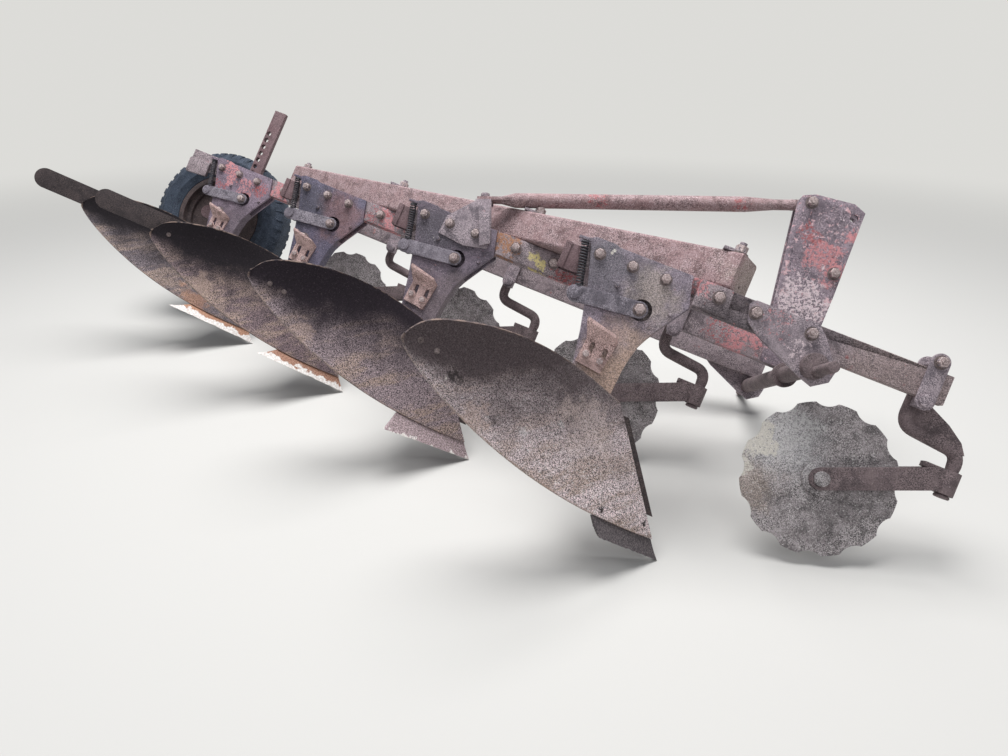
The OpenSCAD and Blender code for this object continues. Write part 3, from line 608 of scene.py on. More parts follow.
# %% Softened copies
SAME_PLACE = 2e-5  # metres
FLAT = math.radians(0.6)
SOFT_WIDTHS = {
    "main_tube": 1.5, **{f"beam_{k}": 2.2 for k in BOTTOMS}, **{f"standard_{k}": 1.6 for k in BOTTOMS},
    "trip_links": 1.4, "spring_boxes": 0.8, "trash_brackets": 1.0, "frogs": 2.0, "landsides": 2.0,
    "wing_braces": 1.2, "tailpiece_3": 1.6, "tailpiece_4": 1.6, "hitch_plates": 1.6, "cross_shaft": 2.0,
    "mast": 1.8, "brace": 1.6, "brace_bracket": 1.4, "coulter_clamps": 1.2,
    "wheel_leg": 1.6, "wheel_bracket": 1.6, "wheel_rim": 1.0, "tube_clamps": 1.0,
}
for k in BOTTOMS:
    SOFT_WIDTHS[f"coulter_yoke_{k}"] = 1.4
    SOFT_WIDTHS[f"coulter_disc_{k}"] = 0.8


def softened(name, width):
    """Put a copy of a solid with rounded edges in its place."""
    mesh = frame["nodes"][name].data.copy()
    with edited(mesh) as bm:
        bmesh.ops.remove_doubles(bm, verts=bm.verts, dist=SAME_PLACE)
        bmesh.ops.dissolve_limit(bm, angle_limit=FLAT, verts=bm.verts, edges=bm.edges)
    rounded = round_edges(mesh, width)
    piece = settle(f"{name}_soft", mesh, body_of[name], finish_of(name))
    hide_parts(name)
    return rounded


print("edges rounded:", {name: softened(name, width) for name, width in SOFT_WIDTHS.items()})

# %% [markdown]
# ### The moldboards
# The feature of most skill is the moldboard's twisted face. Its level lines run back and outward from
# the shin, and their slope falls from the share to the wing and grows again toward the top. The same
# rule that shapes the solid is walked here in much finer steps.

# %% The face's rule
SEAM, SHIN_TOP = 50, 353  # heights above the ground where the shin starts and ends
SHIN_SLOPE = 0.72
NOSE_OUT, NOSE_H = 50, 300  # how far the shin comes out at the ground, and where that ends
WING_H, WING_TOP = 257, 335  # heights of the wing's lower and upper corner
WING_BACK, WING_LEAN, WING_LIFT, WING_ROUND = 318, 8, 10, 38
WING_SLOPE, SHARE_MORE, TOP_MORE = 0.57, 0.23, 0.09
TOP_ARCH = 60
BOARD_T = 8.0


def shin_x(h):
    return SHARE_POINT[0] - SHIN_SLOPE * h


def shin_y(h):
    return NOSE_OUT * max(1 - h / NOSE_H, 0) ** 1.5


def run_slope(h):
    """Slope of the level line at a height: least at the wing, more toward the share and the top."""
    if h < WING_H:
        return WING_SLOPE + SHARE_MORE * ((WING_H - h) / WING_H) ** 2
    return WING_SLOPE + TOP_MORE * ((h - WING_H) / 90) ** 2


def face_y(x, h):
    return shin_y(h) - (shin_x(h) - x) * run_slope(h)


def on_face(s, v):
    """A place on the face: s from the shin to the wing, v from the seam to the top edge."""
    t = max(s, 0)
    low_x = shin_x(SEAM) + (WING_LEAN - WING_BACK - shin_x(SEAM)) * s
    low_h = SEAM + (WING_H - SEAM) * t ** 2.1 + WING_LIFT * t ** 20
    top_x = shin_x(SHIN_TOP) + (-WING_BACK - shin_x(SHIN_TOP)) * s
    top_h = SHIN_TOP + (WING_TOP - SHIN_TOP) * s + TOP_ARCH * math.sin(math.pi * s) - WING_ROUND * t ** 24
    x = low_x * (1 - v) + top_x * v - WING_LEAN * math.sin(math.pi * v) * t ** 8
    h = low_h * (1 - v) + top_h * v
    return Vector((x, face_y(x, h), h + FLOOR))


def face_normal(s, v, e=0.01):
    return (on_face(s + e, v) - on_face(s - e, v)).cross(on_face(s, v + e) - on_face(s, v - e)).normalized()


def behind(s, v, depth):
    return on_face(s, v) + face_normal(s, v) * depth


print("the wing's top is", round(-on_face(1, 1).y), "mm out from the landside")

# %% A plate between two grids
def closed_plate(front, back):
    """Vertices and faces of a plate between two grids of points."""
    nu, nv = len(front), len(front[0])
    verts = [p for row in front for p in row] + [p for row in back for p in row]
    f = lambda i, j: i * nv + j  # numbers of the front points
    b = lambda i, j: nu * nv + f(i, j)  # and of the back points
    quads = []
    for i in range(nu - 1):
        for j in range(nv - 1):
            quads.append((f(i, j), f(i + 1, j), f(i + 1, j + 1), f(i, j + 1)))
            quads.append((b(i, j), b(i, j + 1), b(i + 1, j + 1), b(i + 1, j)))
        quads.append((f(i, 0), b(i, 0), b(i + 1, 0), f(i + 1, 0)))
        quads.append((f(i, nv - 1), f(i + 1, nv - 1), b(i + 1, nv - 1), b(i, nv - 1)))
    for j in range(nv - 1):
        quads.append((f(0, j), f(0, j + 1), b(0, j + 1), b(0, j)))
        quads.append((f(nu - 1, j), b(nu - 1, j), b(nu - 1, j + 1), f(nu - 1, j + 1)))
    return verts, quads


def add_map(mesh, spots):
    """Store each vertex's place on the piece's own map."""
    layer = mesh.uv_layers.new(name="along_and_up")
    for loop in mesh.loops:
        layer.data[loop.index].uv = spots[loop.vertex_index]


# %% [markdown]
# ### The moldboards: painted light below, painted shade above
# The finish reads the board's own map, so it gets paler and browner toward the share and darker toward
# the wing's top, with a grained speckle over all of it. The pale lower part is mostly painted light,
# where the face turns up to the sky, and the dark upper part is painted shade, where the wing leans
# over. The rear boards are painted darker still, for the shade of the boards in front of them.

# %% Moldboard rust
BOARD_TAN, RIM_TONE = (0.50, 0.37, 0.30), (0.38, 0.27, 0.22)


def at_the_rim(p, along, up, seed):
    """1 close to the wing's edge, the seam and the top edge, in places."""
    rim = p.calc("MAXIMUM", p.calc("MAXIMUM", p.step(up, 0.988, 0.998), p.step(up, 0.014, 0.004)),
                 p.step(along, 0.989, 0.998))
    return p.times(rim, p.step(p.noise(28, 5, 0.7, shift=seed + 5), 0.42, 0.60))


def board_rust(k, dark, lit_pale, pale_from, pale_to, lean, spots):
    """Rust of board k, with painted light on its lower part and painted shade on its upper part. Lean says
    how much sooner the pale, lit part ends toward the wing.
    """
    p = Paint(f"moldboard_{k}_rust")
    along, up = p.surface()
    fine = p.noise(3.2, 6, 0.80, shift=k)
    pits = p.noise(10, 5, 0.74, shift=k + 1)
    cloud = p.noise(140, 6, 0.62, warp=0.6, shift=k + 2)
    streak = p.noise(70, 6, 0.66, shift=k + 3, squash=(0.35, 0.35, 1.6))
    reach = p.calc("ADD", up, p.times(p.calc("SUBTRACT", cloud, 0.5), 0.9))
    reach = p.calc("ADD", reach, p.times(along, lean))
    # low is 1 on the board's lower part, which is painted light, and 0 on its upper part, painted shade.
    low = p.calc("SUBTRACT", 1.0, p.step(reach, pale_from, pale_to))
    base = p.mix(low, dark, lit_pale)
    base = p.mix(p.times(p.step(streak, 0.44, 0.60), p.times(low, 0.8)), base, BOARD_TAN)
    colour = p.mix(p.step(fine, 0.43, 0.56), toned(dark, 0.40), base)
    colour = p.over(colour, toned(dark, 0.5), pits, 0.54, 0.64, 0.48)
    speck = p.step(p.noise(5, 5, 0.82, shift=k + 4), 0.57, 0.63)
    light = tuple(min(1.0, c) for c in toned(lit_pale, 1.75))
    colour = p.mix(p.times(speck, p.calc("ADD", 0.06, p.times(low, 0.7))), colour, light)
    colour = p.mix(p.times(at_the_rim(p, along, up, k), 0.5), colour, RIM_TONE)
    for (s, v), radius, tone, strength in spots:
        mark = p.times(p.spot(yard(on_face(s, v), k), radius, 1.3, 0.35), strength)
        colour = p.mix(p.times(mark, p.step(fine, 0.36, 0.52)), colour, tone)
    rough = p.calc("SUBTRACT", 0.78, p.times(low, 0.16))
    return p.shade(colour, rough, p.height([(fine, 1.0), (pits, 1.4), (cloud, 3.0)]), metal=0.1, specular=0.3)


# %% The four boards' own looks
# Near black: painted shade standing for the two holes low in board 1's toe, and dark stains.
HOLE_SHADE_AND_STAIN = (0.022, 0.017, 0.018)
BOARD_LOOKS = {  # each spot: its place on the face, its radius, its tone and its strength
    1: dict(dark=(0.100, 0.075, 0.080), lit_pale=(0.92, 0.77, 0.78), pale_from=0.34, pale_to=1.24, lean=0.90,
            spots=[
        ((0.803, 0.36), 13, HOLE_SHADE_AND_STAIN, 0.95), ((0.780, 0.345), 9, HOLE_SHADE_AND_STAIN, 0.8), ((0.640, 0.20), 13, HOLE_SHADE_AND_STAIN, 0.45),
        # The two near-black spots low by the shin are painted shade standing for holes.
        ((0.20, 0.062), 7, HOLE_SHADE_AND_STAIN, 1.0), ((0.024, 0.094), 6, HOLE_SHADE_AND_STAIN, 1.0), ((0.83, 0.26), 5, CREAM, 0.9),
        ((0.52, 0.28), 11, (0.60, 0.57, 0.58), 0.5), ((0.36, 0.50), 9, (0.62, 0.60, 0.60), 0.4),
        ((0.72, 0.06), 40, TAN, 0.4), ((0.22, 0.60), 70, (0.62, 0.50, 0.46), 0.3)]),
    # Boards 2 to 4 are painted far darker than board 1: painted shade cast by the boards in front.
    2: dict(dark=(0.020, 0.013, 0.021), lit_pale=(0.40, 0.315, 0.335), pale_from=0.22, pale_to=0.96, lean=0.42,
            spots=[((0.75, 0.08), 40, TAN, 0.4)]),
    3: dict(dark=(0.013, 0.009, 0.014), lit_pale=(0.25, 0.18, 0.195), pale_from=0.18, pale_to=0.90, lean=0.42,
            spots=[((0.70, 0.10), 50, TAN, 0.4)]),
    4: dict(dark=(0.013, 0.009, 0.013), lit_pale=(0.22, 0.18, 0.20), pale_from=0.18, pale_to=0.88, lean=0.42,
            spots=[((0.30, 0.06), 60, ORANGE, 0.5)]),
}
board_finish = {k: board_rust(k, **look) for k, look in BOARD_LOOKS.items()}
print("board finishes:", len(board_finish))

# %% Moldboards
ALONG, UP = 72, 34  # steps of the grid
FACE_IN = 0.4  # the fine face lies this far behind the solid's
BOARD_DENTS = {1: [((0.803, 0.32), 34, 5.0)]}  # place on the face, radius, depth


def board_depth(k, place):
    """Small dents and waves of a used board, in millimetres behind the true face."""
    wave = noise.noise(place / 95 + Vector((7 * k, 0, 0))) * 1.1
    wave += noise.noise(place / 26 + Vector((0, 9 * k, 0))) * 0.35
    for spot, radius, deep in BOARD_DENTS.get(k, ()):
        gap = (place - on_face(*spot)).length
        wave += deep * math.exp(-(gap / radius) ** 2)
    return max(wave, -FACE_IN)


def moldboard(k):
    steps = [i / ALONG for i in range(ALONG + 1)]
    rises = [j / UP for j in range(UP + 1)]
    front = [[yard(behind(s, v, FACE_IN + board_depth(k, on_face(s, v))), k) for v in rises] for s in steps]
    back = [[yard(behind(s, v, BOARD_T), k) for v in rises] for s in steps]
    mesh = mesh_from(*closed_plate(front, back))
    add_map(mesh, [(s, v) for s in steps for v in rises] * 2)
    round_edges(mesh, 2.2, angle=50)
    piece = settle(f"moldboard_{k}_fine", mesh, "frame", board_finish[k], 45)
    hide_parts(f"moldboard_{k}")
    return len(mesh.polygons)


print("moldboard faces:", {k: moldboard(k) for k in BOTTOMS})

# %% [markdown]
# ### The shares
# A share is a flat-ground blade between the seam and the cutting edge. Each has worn its own way. Its
# edge is drawn with a slow wave and small chips, always above the line of the solid's edge, so that the
# plough still rests on the same four points.
#
# The two rear shares still wear some pale paint over orange rust, the front ones are brown, and the
# first is painted darker still, as painted shade under its moldboard's overhang. The pale coat holds on
# in the hollows and is gone at the seam, so its share grows toward the cutting edge.

# %% Share finishes
COAT_LOW, COAT_HIGH = (0.62, 0.56, 0.53), (0.84, 0.82, 0.80)


def share_rust(k, pale_from, dark, light):
    seed = 38 + 3 * k
    p = Paint(f"share_{k}_rust")
    up = p.surface()[1]
    fine = p.noise(4, 6, 0.80, shift=seed)
    flake = p.noise(34, 8, 0.66, shift=seed + 1)
    pits = p.noise(11, 5, 0.7, shift=seed + 2)
    base = p.mix(p.step(fine, 0.42, 0.60), dark, light)
    base = p.over(base, dark, pits, 0.54, 0.7, 0.6)
    cover = p.calc("ADD", flake, p.times(p.calc("SUBTRACT", 0.55, up), 0.5))
    cover = p.step(cover, pale_from, pale_from + 0.05)
    coat = p.mix(p.step(p.noise(8, 5, 0.7, shift=seed + 3), 0.40, 0.62), COAT_LOW, COAT_HIGH)
    colour = p.mix(cover, base, coat)
    rough = p.calc("SUBTRACT", 0.82, p.times(cover, 0.2))
    return p.shade(colour, rough, p.height([(fine, 0.5), (pits, 0.9), (cover, 0.4)]), metal=0.05)


share_finish = {k: share_rust(k, *look) for k, look in {
    # Share 1's dark tones are painted shade: it lies under the overhang of its moldboard.
    1: (0.84, (0.035, 0.030, 0.034), (0.15, 0.125, 0.13)),
    2: (0.76, (0.17, 0.125, 0.13), (0.56, 0.44, 0.46)),
    3: (0.50, (0.22, 0.105, 0.070), (0.50, 0.29, 0.21)),
    4: (0.44, (0.26, 0.12, 0.075), (0.58, 0.34, 0.23)),
}.items()}
print("share finishes:", len(share_finish))

# %% Shares
SHARE_ENDS = {  # rear end of the seam, rear end of the cutting edge, how far that end is worn up
    1: (250, 290, 10), 2: (208, 205, 2), 3: (205, 172, 26), 4: (195, 152, 28)}
SHARE_FACE, SHARE_BACK = 5, 13  # depths behind the board's face at the seam
SEAM_GAP = Vector((0, 0, -0.8))
BACK_EDGE = Vector((-9, 9, 2))  # from the cutting edge to the edge ground behind it
CLEAR = Vector((0, 0, 0.3))


def share(k, n=48, m=8):
    seam_x, cut_x, rise = SHARE_ENDS[k]
    seam_s = (shin_x(SEAM) - seam_x) / (shin_x(SEAM) + WING_BACK - WING_LEAN)
    start, end = Vector(SHARE_POINT), Vector((cut_x, face_y(cut_x, 0), FLOOR + rise))
    front, back = [], []
    for i in range(n + 1):
        u = i / n
        cut = start.lerp(end, u)
        seam = behind(seam_s * u, 0, SHARE_FACE) + SEAM_GAP
        under = behind(seam_s * u, 0, SHARE_BACK) + SEAM_GAP
        chip = abs(noise.noise(Vector((u * 9, k * 5, 0)))) * 5
        chip += abs(noise.noise(Vector((u * 34, k, 3)))) * 2.5
        chip *= min(1.0, u * 6)
        front_row, back_row = [], []
        for t in (j / m for j in range(m + 1)):
            slip = (seam - cut).normalized() * (max(0.0, 1 - t * 3) * chip)
            point = cut.lerp(seam, t) + Vector((0, 0, -8 * t * (1 - t)))
            low = (cut + BACK_EDGE).lerp(under, t) + Vector((0, 0, -14 * t * (1 - t)))
            front_row.append(yard(point + slip + CLEAR, k))
            back_row.append(yard(low + slip + CLEAR, k))
        front.append(front_row)
        back.append(back_row)
    mesh = mesh_from(*closed_plate(front, back))
    add_map(mesh, [(i / n, j / m) for i in range(n + 1) for j in range(m + 1)] * 2)
    round_edges(mesh, 0.8, angle=60, segments=1)
    piece = settle(f"share_{k}_worn", mesh, "frame", share_finish[k], 40)
    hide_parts(f"share_{k}")
    return len(mesh.polygons)


print("share faces:", {k: share(k) for k in BOTTOMS})

# %% [markdown]
# ### Bolts by the dozen
# Every bolt head is the same form in another size: a washer, a six-sided head with a worn rim, and a
# round end, low on the heads and long on the nuts, where it is the bolt's thread. A small Geometry Nodes
# tree puts one on each place, turned a little at random, so only the list of places is written down.

# %% A tree that puts a form on every place
class Tree(Nodes):
    """Builds one Geometry Nodes tree with named inputs."""

    def __init__(self, name, inputs):
        super().__init__(bpy.data.node_groups.new(name, "GeometryNodeTree"))
        sockets = self.tree.interface
        sockets.new_socket(name="Geometry", in_out="INPUT", socket_type="NodeSocketGeometry")
        self.ids = {}
        for label, kind in inputs:
            socket = sockets.new_socket(name=label, in_out="INPUT", socket_type=f"NodeSocket{kind}")
            self.ids[label] = socket.identifier
        sockets.new_socket(name="Geometry", in_out="OUTPUT", socket_type="NodeSocketGeometry")
        self.inputs = self.add("NodeGroupInput").outputs
        self.out = self.add("NodeGroupOutput")

    def marked_for_shade(self, shape):
        """A shape whose faces carry the mark where the finish paints a dark seam: painted shade with grime.
        """
        return self.add("GeometryNodeStoreNamedAttribute", {"Geometry": shape, "Name": "seam", "Value": 1.0},
                        data_type="FLOAT", domain="FACE").outputs[0]

    def moved(self, shape, up):
        """A shape lifted along Z by a number or a socket."""
        lift = self.add("ShaderNodeCombineXYZ", {"Z": up}).outputs[0]
        return self.add("GeometryNodeTransform", {"Geometry": shape, "Translation": lift}).outputs[0]

    def place(self, shapes, spin_limit):
        """Join the shapes, put them on every place, then make them real and give them their finish."""
        join = self.add("GeometryNodeJoinGeometry")
        for shape in shapes:
            self.feed(join.inputs[0], shape)
        facing = self.add("GeometryNodeInputNamedAttribute", {"Name": "facing"}, data_type="FLOAT_VECTOR")
        across = self.add("GeometryNodeInputNamedAttribute", {"Name": "across"}, data_type="FLOAT")
        turn = self.add("FunctionNodeAlignRotationToVector", {"Vector": facing.outputs[0]}, axis="Z")
        put = self.add("GeometryNodeInstanceOnPoints", {
            "Points": self.inputs["Geometry"], "Instance": join.outputs[0],
            "Rotation": turn.outputs[0], "Scale": across.outputs[0]})
        chance = self.add("FunctionNodeRandomValue", {2: 0.0, 3: spin_limit, "Seed": self.inputs["Seed"]},
                          data_type="FLOAT")
        spin = self.add("FunctionNodeAxisAngleToRotation", {"Axis": (0, 0, 1), "Angle": chance.outputs[1]})
        turned = self.add("GeometryNodeRotateInstances", {
            "Instances": put.outputs[0], "Rotation": spin.outputs[0]})
        real = self.add("GeometryNodeRealizeInstances", {"Geometry": turned.outputs[0]})
        done = self.add("GeometryNodeSetMaterial", {
            "Geometry": real.outputs[0], "Material": self.inputs["Finish"]})
        self.feed(self.out.inputs[0], done.outputs[0])


def grow(name, tree, places, values, body, material, smooth_to=28):
    """Run a tree on places given as (point, facing, size) and keep the result as a plain mesh."""
    mesh = bpy.data.meshes.new(name + "_places")
    mesh.from_pydata([tuple(p) for p, _, _ in places], [], [])
    mesh.attributes.new("facing", "FLOAT_VECTOR", "POINT")
    mesh.attributes.new("across", "FLOAT", "POINT")
    for i, (_, way, size) in enumerate(places):
        mesh.attributes["facing"].data[i].vector = way
        mesh.attributes["across"].data[i].value = size
    seedling = link(bpy.data.objects.new(name + "_places", mesh))
    modifier = seedling.modifiers.new("grow", "NODES")
    modifier.node_group = tree.tree
    for label, value in {**values, "Finish": material}.items():
        modifier[tree.ids[label]] = value
    depsgraph = bpy.context.evaluated_depsgraph_get()
    grown = bpy.data.meshes.new_from_object(seedling.evaluated_get(depsgraph))
    bpy.data.objects.remove(seedling)
    for attribute in ("facing", "across"):
        if attribute in grown.attributes:
            grown.attributes.remove(grown.attributes[attribute])
    return settle(name, grown, body, material, smooth_to)


# %% The bolt tree
WASHER_T, HEAD_T, CROWN_T = 0.14, 0.62, 0.06  # as shares of the size across the flats
HEAD_R, CROWN_R, STUB_R = 0.59, 0.50, 0.31
SIXTH_TURN, ANY_TURN = math.pi / 3, 6.28
bolt = Tree("bolt_on_every_place", [
    ("Stub", "Float"), ("Washer", "Float"), ("Seed", "Int"), ("Finish", "Material")])
washer = bolt.add("GeometryNodeMeshCylinder", {
    "Vertices": 28, "Radius": bolt.inputs["Washer"], "Depth": WASHER_T})
head = bolt.add("GeometryNodeMeshCylinder", {"Vertices": 6, "Radius": HEAD_R, "Depth": HEAD_T})
crown = bolt.add("GeometryNodeMeshCone", {
    "Vertices": 6, "Radius Bottom": HEAD_R, "Radius Top": CROWN_R, "Depth": CROWN_T})
stub = bolt.add("GeometryNodeMeshCylinder", {"Vertices": 14, "Radius": STUB_R, "Depth": bolt.inputs["Stub"]})
half_stub = bolt.add("ShaderNodeMath", {0: bolt.inputs["Stub"], 1: 0.5}, operation="MULTIPLY")
stub_up = bolt.add("ShaderNodeMath", {0: half_stub.outputs[0], 1: WASHER_T + HEAD_T}, operation="ADD")
bolt.place([
    bolt.marked_for_shade(bolt.moved(washer.outputs["Mesh"], WASHER_T / 2)),
    bolt.moved(head.outputs["Mesh"], WASHER_T + HEAD_T / 2),
    bolt.moved(crown.outputs["Mesh"], WASHER_T + HEAD_T),
    bolt.moved(stub.outputs["Mesh"], stub_up.outputs[0]),
], SIXTH_TURN)
print("bolt tree:", len(bolt.tree.nodes), "nodes")

# %% Places of the bolts
TO_RIGHT = yard_way((0, -1, 0))
UPWARD = yard_way((0, 0, 1))
STRAP_Y, BRACKET_Y, CLAMP_Y = -10.1, -8.1, 2  # right faces of the straps, a bracket, the coulter clamps


def right_faces(k, rows):
    """Places on faces that look to the right, from rows of x, z, y and the size across the flats."""
    return [(yard((x, y, z), k), TO_RIGHT, flats / 1000) for x, z, y, flats in rows]


heads, nuts = [], []
for k in BOTTOMS:
    nuts += right_faces(k, [(x, 4, STANDARD_Y, 22) for x in ((0,) if k == 2 else (0, 95, 190))])
    nuts += right_faces(k, [(156, -99, STRAP_Y, 24), (336, 8, STRAP_Y, 24), (911, 62, CLAMP_Y, 24)])
    heads += right_faces(k, [(70, -262, STRAP_Y, 17), (112, -268, STRAP_Y, 17),
                             (76, -57, STANDARD_Y, 11), (236, -80, STANDARD_Y, 9)])
    if k > 2:
        heads += right_faces(k, [(72, -189, STANDARD_Y, 26)])
for k in (2, 3):
    nuts += right_faces(k, [(471, 6, STRAP_Y, 24)])
nuts += right_faces(1, [(439, 8, 0, 24), (590, 10, 0, 24), (519, 488, FURROW, 26), (664, 300, FURROW, 26)])
nuts += right_faces(2, [(x, 4, BRACKET_Y, 22) for x in (95, 190)])
for k, nut_x in {1: 344, 2: 356, 3: 362, 4: 378}.items():
    nuts.append((yard((nut_x, 28, 144.2), k), UPWARD, 30.5 / 1000))
print("heads:", len(heads), "nuts:", len(nuts))

# %% Bolts
bolt_values = {"Stub": 0.08, "Washer": 0.765, "Seed": 7}
grow("bolt_heads", bolt, heads, bolt_values, "frame", finish["bolt_rust"])
grow("bolt_nuts", bolt, nuts, {**bolt_values, "Stub": 0.26}, "frame", finish["bolt_rust"])

# %% [markdown]
# ### Plough bolts
# The boards hang on flush bolts with round countersunk heads. Each shows as a pale disc with a dark
# seam round it: a low disc in a shallow ring. The seam's darkness is painted shade with grime.

# %% Flush bolts
BOARD_BOLTS = {1: ((0.941, 0.576), (0.881, 0.518)), 2: ((0.913, 0.47), (0.851, 0.464)), 3: ((0.917, 0.656),)}
flush = Tree("flush_bolt_on_every_place", [("Proud", "Float"), ("Seed", "Int"), ("Finish", "Material")])
ring = flush.add("GeometryNodeMeshCone", {
    "Vertices": 24, "Radius Bottom": 0.5, "Radius Top": 0.44, "Depth": flush.inputs["Proud"]})
disc = flush.add("GeometryNodeMeshCylinder", {"Vertices": 20, "Radius": 0.36, "Depth": 0.10})
flush.place([
    flush.marked_for_shade(flush.moved(ring.outputs["Mesh"], -0.02)),
    flush.moved(disc.outputs["Mesh"], 0.05),
], ANY_TURN)
studs = [(yard(on_face(s, v), k), -yard_way(face_normal(s, v)), 0.016)
         for k, spots in BOARD_BOLTS.items() for s, v in spots]
grow("board_bolts", flush, studs, {"Proud": 0.12, "Seed": 3}, "frame", finish["bolt_rust"])
print("flush bolts:", len(studs))

# %% [markdown]
# ### Trip springs
# Each leg is held by a close-wound spring behind it. A spiral curve with a round profile is the whole
# spring, and the same tree puts one behind every leg.

# %% Springs
SPRING_LOW, SPRING_HIGH = Vector((-21, -2.5, -92)), Vector((-50, -2.5, 22))
COLLAR_T = 0.004
spring = Tree("spring_on_every_place", [
    ("Turns", "Float"), ("Coil radius", "Float"), ("Wire radius", "Float"), ("Length", "Float"),
    ("Seed", "Int"), ("Finish", "Material")])
spiral = spring.add("GeometryNodeCurveSpiral", {
    "Resolution": 20, "Rotations": spring.inputs["Turns"], "Start Radius": spring.inputs["Coil radius"],
    "End Radius": spring.inputs["Coil radius"], "Height": spring.inputs["Length"]})
wire = spring.add("GeometryNodeCurvePrimitiveCircle", {
    "Resolution": 8, "Radius": spring.inputs["Wire radius"]}, mode="RADIUS")
wound = spring.add("GeometryNodeCurveToMesh", {
    "Curve": spiral.outputs[0], "Profile Curve": wire.outputs["Curve"], "Fill Caps": True})
collar = spring.add("GeometryNodeMeshCylinder", {"Vertices": 24, "Radius": 0.011, "Depth": COLLAR_T})
spring.place([
    wound.outputs[0],
    spring.moved(collar.outputs["Mesh"], -COLLAR_T / 2),
    spring.moved(collar.outputs["Mesh"], spring.inputs["Length"]),
], ANY_TURN)
spring_len = (SPRING_HIGH - SPRING_LOW).length / 1000
coils = grow("wound_springs", spring,
             [(yard(SPRING_LOW, k), yard_way(SPRING_HIGH - SPRING_LOW), 1.0) for k in BOTTOMS],
             {"Turns": 15.0, "Coil radius": 0.0094, "Wire radius": 0.0024, "Length": spring_len, "Seed": 5},
             "frame", finish["spring_steel"], 60)
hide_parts("trip_springs")
print("spring length", round(spring_len * 1000), "mm")

# %% [markdown]
# ### Bent shanks
# The coulter shanks are forged round bars bent twice. A path with rounded corners is swept by a round
# section, with its frame carried along from step to step so that the bar does not twist.

# %% Sweeping a bar along a path
def between_rings(count, n, closed=False):
    """Faces that join rings of n points, each to the next, and the last to the first if closed."""
    faces = []
    for i in range(count if closed else count - 1):
        m = (i + 1) % count
        faces += [(i * n + j, i * n + (j + 1) % n, m * n + (j + 1) % n, m * n + j) for j in range(n)]
    return faces


def rounded_path(points, radius, steps=7):
    """Replace each corner of a path by an arc that starts radius millimetres before it."""
    points = [Vector(p) for p in points]
    path = [points[0]]
    for before, corner, after in zip(points, points[1:], points[2:]):
        enter = corner + (before - corner).normalized() * radius
        leave = corner + (after - corner).normalized() * radius
        for i in range(steps + 1):
            t = i / steps
            path.append(enter * (1 - t) ** 2 + corner * 2 * t * (1 - t) + leave * t * t)
    return path + [points[-1]]


def swept(path, radii, sides=24):
    """Vertices and faces of a round bar along a path, closed at both ends."""
    verts, side, last = [], None, (len(path) - 1) * sides
    for i, point in enumerate(path):
        ahead = (path[min(i + 1, len(path) - 1)] - path[max(i - 1, 0)]).normalized()
        side = side or ahead.orthogonal()
        side = (side - ahead * side.dot(ahead)).normalized()
        other = ahead.cross(side)
        for j in range(sides):
            a = 2 * math.pi * j / sides
            verts.append(point + (side * math.cos(a) + other * math.sin(a)) * radii[i])
    caps = [tuple(range(sides))[::-1], tuple(range(last, last + sides))]
    return verts, between_rings(len(path), sides) + caps


def joined(parts):
    """Several closed forms as one list of vertices and faces."""
    verts, faces = [], []
    for v, f in parts:
        faces += [tuple(i + len(verts) for i in face) for face in f]
        verts += list(v)
    return verts, faces


def plate_between(outline, y0, y1):
    """A flat plate from its side view, given as (x, z) corners."""
    n = len(outline)
    verts = [Vector((x, y0, z)) for x, z in outline] + [Vector((x, y1, z)) for x, z in outline]
    faces = [tuple(range(n)), tuple(range(2 * n - 1, n - 1, -1))]
    faces += [(i, n + i, n + (i + 1) % n, (i + 1) % n) for i in range(n)]
    return verts, faces


# %% Shanks
SHANK_X, SHANK_Y, SHANK_TOP = 901, 44 + 18.1, 49
SWIVEL_X, SWIVEL_Y, SWIVEL_LOW = 1062, 75, -251
SHANK_R, PIN_R, CAP_R = 18, 14, 20
BEND = 34
GUSSET = [(901, -60), (952, -42), (1008, -70), (1052, -102), (1070, -130), (1040, -128), (901, -105)]
GUSSET_HALF_T = 4


def on_swivel(heights, radii):
    """A round form on the swivel's axis."""
    return swept([Vector((SWIVEL_X, SWIVEL_Y, z)) for z in heights], radii)


def shank(k):
    path = rounded_path([(SHANK_X, SHANK_Y, SHANK_TOP), (SHANK_X, SHANK_Y, -112),
                         (SWIVEL_X, SWIVEL_Y, -128), (SWIVEL_X, SWIVEL_Y, -200)], BEND)
    forms = [
        swept(path, [SHANK_R - 2] + [SHANK_R] * (len(path) - 2) + [PIN_R + 0.1]),
        on_swivel([-150, SWIVEL_LOW], [PIN_R, PIN_R]),
        on_swivel([-252, -250, -246, -244], [CAP_R - 2, CAP_R, CAP_R, CAP_R - 2]),
    ]
    if k == 1:
        forms.append(plate_between(GUSSET, SHANK_Y - GUSSET_HALF_T, SHANK_Y + GUSSET_HALF_T))
    verts, faces = joined(forms)
    return [yard(v, k) for v in verts], faces


shank_mesh = mesh_from(*joined([shank(k) for k in BOTTOMS]))
bars = settle("bent_shanks", shank_mesh, "frame", finish["arm_rust"], 40)
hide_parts("coulter_shanks")
print("shank faces:", len(shank_mesh.polygons))

# %% [markdown]
# ### The tyre
# An implement tyre with a plain sidewall, two raised rings and short bars along each shoulder. The wall
# is a profile turned about the axle. The bars are small blocks that follow the shoulder.

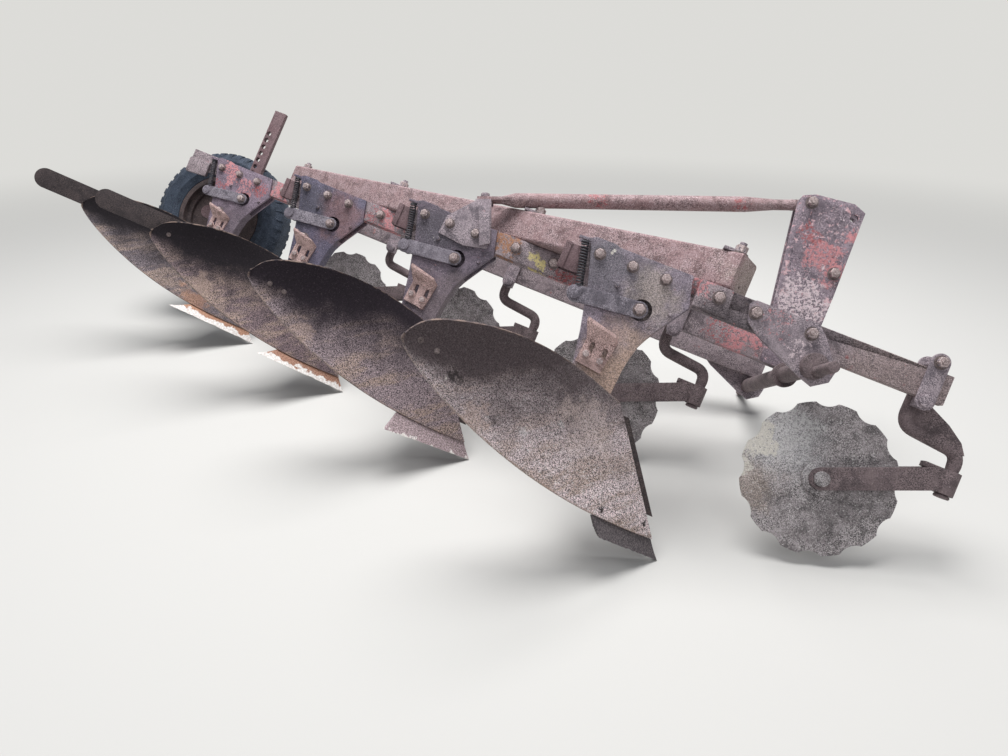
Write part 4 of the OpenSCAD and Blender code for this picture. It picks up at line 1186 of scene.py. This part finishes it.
# %% Tyre
AXLE = Vector((-1942, 1468, -208))
RIM_R, TYRE_R = 206, 332.5
SEGMENTS, BARS = 144, 44
RISES = [  # the side wall: height over the rim, half width
    (0.4, 60), (4, 66), (12, 69), (18, 74), (30, 78.5), (33, 80.6), (36, 80.6), (39, 79.4), (56, 81.6),
    (72, 82), (76, 82.4), (79, 82.4), (83, 80.8)]
CROWN = [  # the tread: radius, half width
    (292, 78), (302, 72), (311, 65), (319, 57), (326, 48), (330, 36), (331.6, 18), (TYRE_R, 0)]
BAR_SECTIONS = [  # inner radius, outer radius, distance from the middle, half length
    (318, 330, 26, 13), (316, 332.6, 38, 15), (308, 328, 54, 15), (298, 315.5, 66, 13), (290, 299, 74, 11)]


def turned(profile, segments):
    """A closed ring: the profile of (radius, y) turned about the axle."""
    verts = []
    for a in (2 * math.pi * i / segments for i in range(segments)):
        verts += [AXLE + Vector((r * math.cos(a), y, r * math.sin(a))) for r, y in profile]
    return verts, between_rings(segments, len(profile), closed=True)


def tread_bar(i, side):
    """One shoulder bar, narrower at its outer face, from the crown over the shoulder."""
    a = 2 * math.pi * (i + (0.5 if side < 0 else 0)) / BARS
    around = Vector((-math.sin(a), 0, math.cos(a)))
    out = Vector((math.cos(a), 0, math.sin(a)))
    verts = []
    for inner, outer, y, half in BAR_SECTIONS:
        for r, w in ((inner, half + 1.5), (outer, half - 1)):
            for end in (-1, 1):
                verts.append(AXLE + out * r + around * (w * end) + Vector((0, y * side, 0)))
    faces = [(0, 1, 3, 2), (16, 18, 19, 17)]
    for o in range(0, 16, 4):
        faces += [(o + a, o + b, o + b + 4, o + a + 4) for a, b in ((0, 2), (2, 3), (3, 1), (1, 0))]
    return verts, faces


wall = [(RIM_R + rise, half) for rise, half in RISES] + CROWN
profile = wall + [(r, -y) for r, y in reversed(wall[:-1])]
forms = [turned(profile, SEGMENTS)] + [tread_bar(i, side) for i in range(BARS) for side in (-1, 1)]
verts, faces = joined(forms)
tyre_mesh = mesh_from([yard(v) for v in verts], faces)
tyre = settle("treaded_tyre", tyre_mesh, "gauge_wheel", finish["tyre"], 32)
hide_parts("wheel_tyre")
print("tyre faces:", len(tyre_mesh.polygons))

# %% Wheel nuts
NUT_CIRCLE_R, NUT_Y, WHEEL_NUTS = 66, -8.2, 5
wheel_nuts = []
for a in (2 * math.pi * i / WHEEL_NUTS for i in range(WHEEL_NUTS)):
    spot = AXLE + Vector((NUT_CIRCLE_R * math.cos(a), NUT_Y, NUT_CIRCLE_R * math.sin(a)))
    wheel_nuts.append((yard(spot), TO_RIGHT, 0.019))
grow("wheel_nuts", bolt, wheel_nuts, {**bolt_values, "Stub": 0.3}, "gauge_wheel",
     finish["bolt_rust"])
print("wheel nuts:", len(wheel_nuts))

# %% [markdown]
# ## Sizes
# How far the dressed plough reaches outside the solids' box, at both ends of each axis, is printed.
# The dressed plough has to stay inside the solids' box.

# %% Sizes
look_box = [list(corner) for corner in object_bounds()]
under = [round(max(0, cad - look) * 1000, 2) for cad, look in zip(cad_box[0], look_box[0])]
over = [round(max(0, look - cad) * 1000, 2) for cad, look in zip(cad_box[1], look_box[1])]
print("outside the solids' box by mm:", under, over)
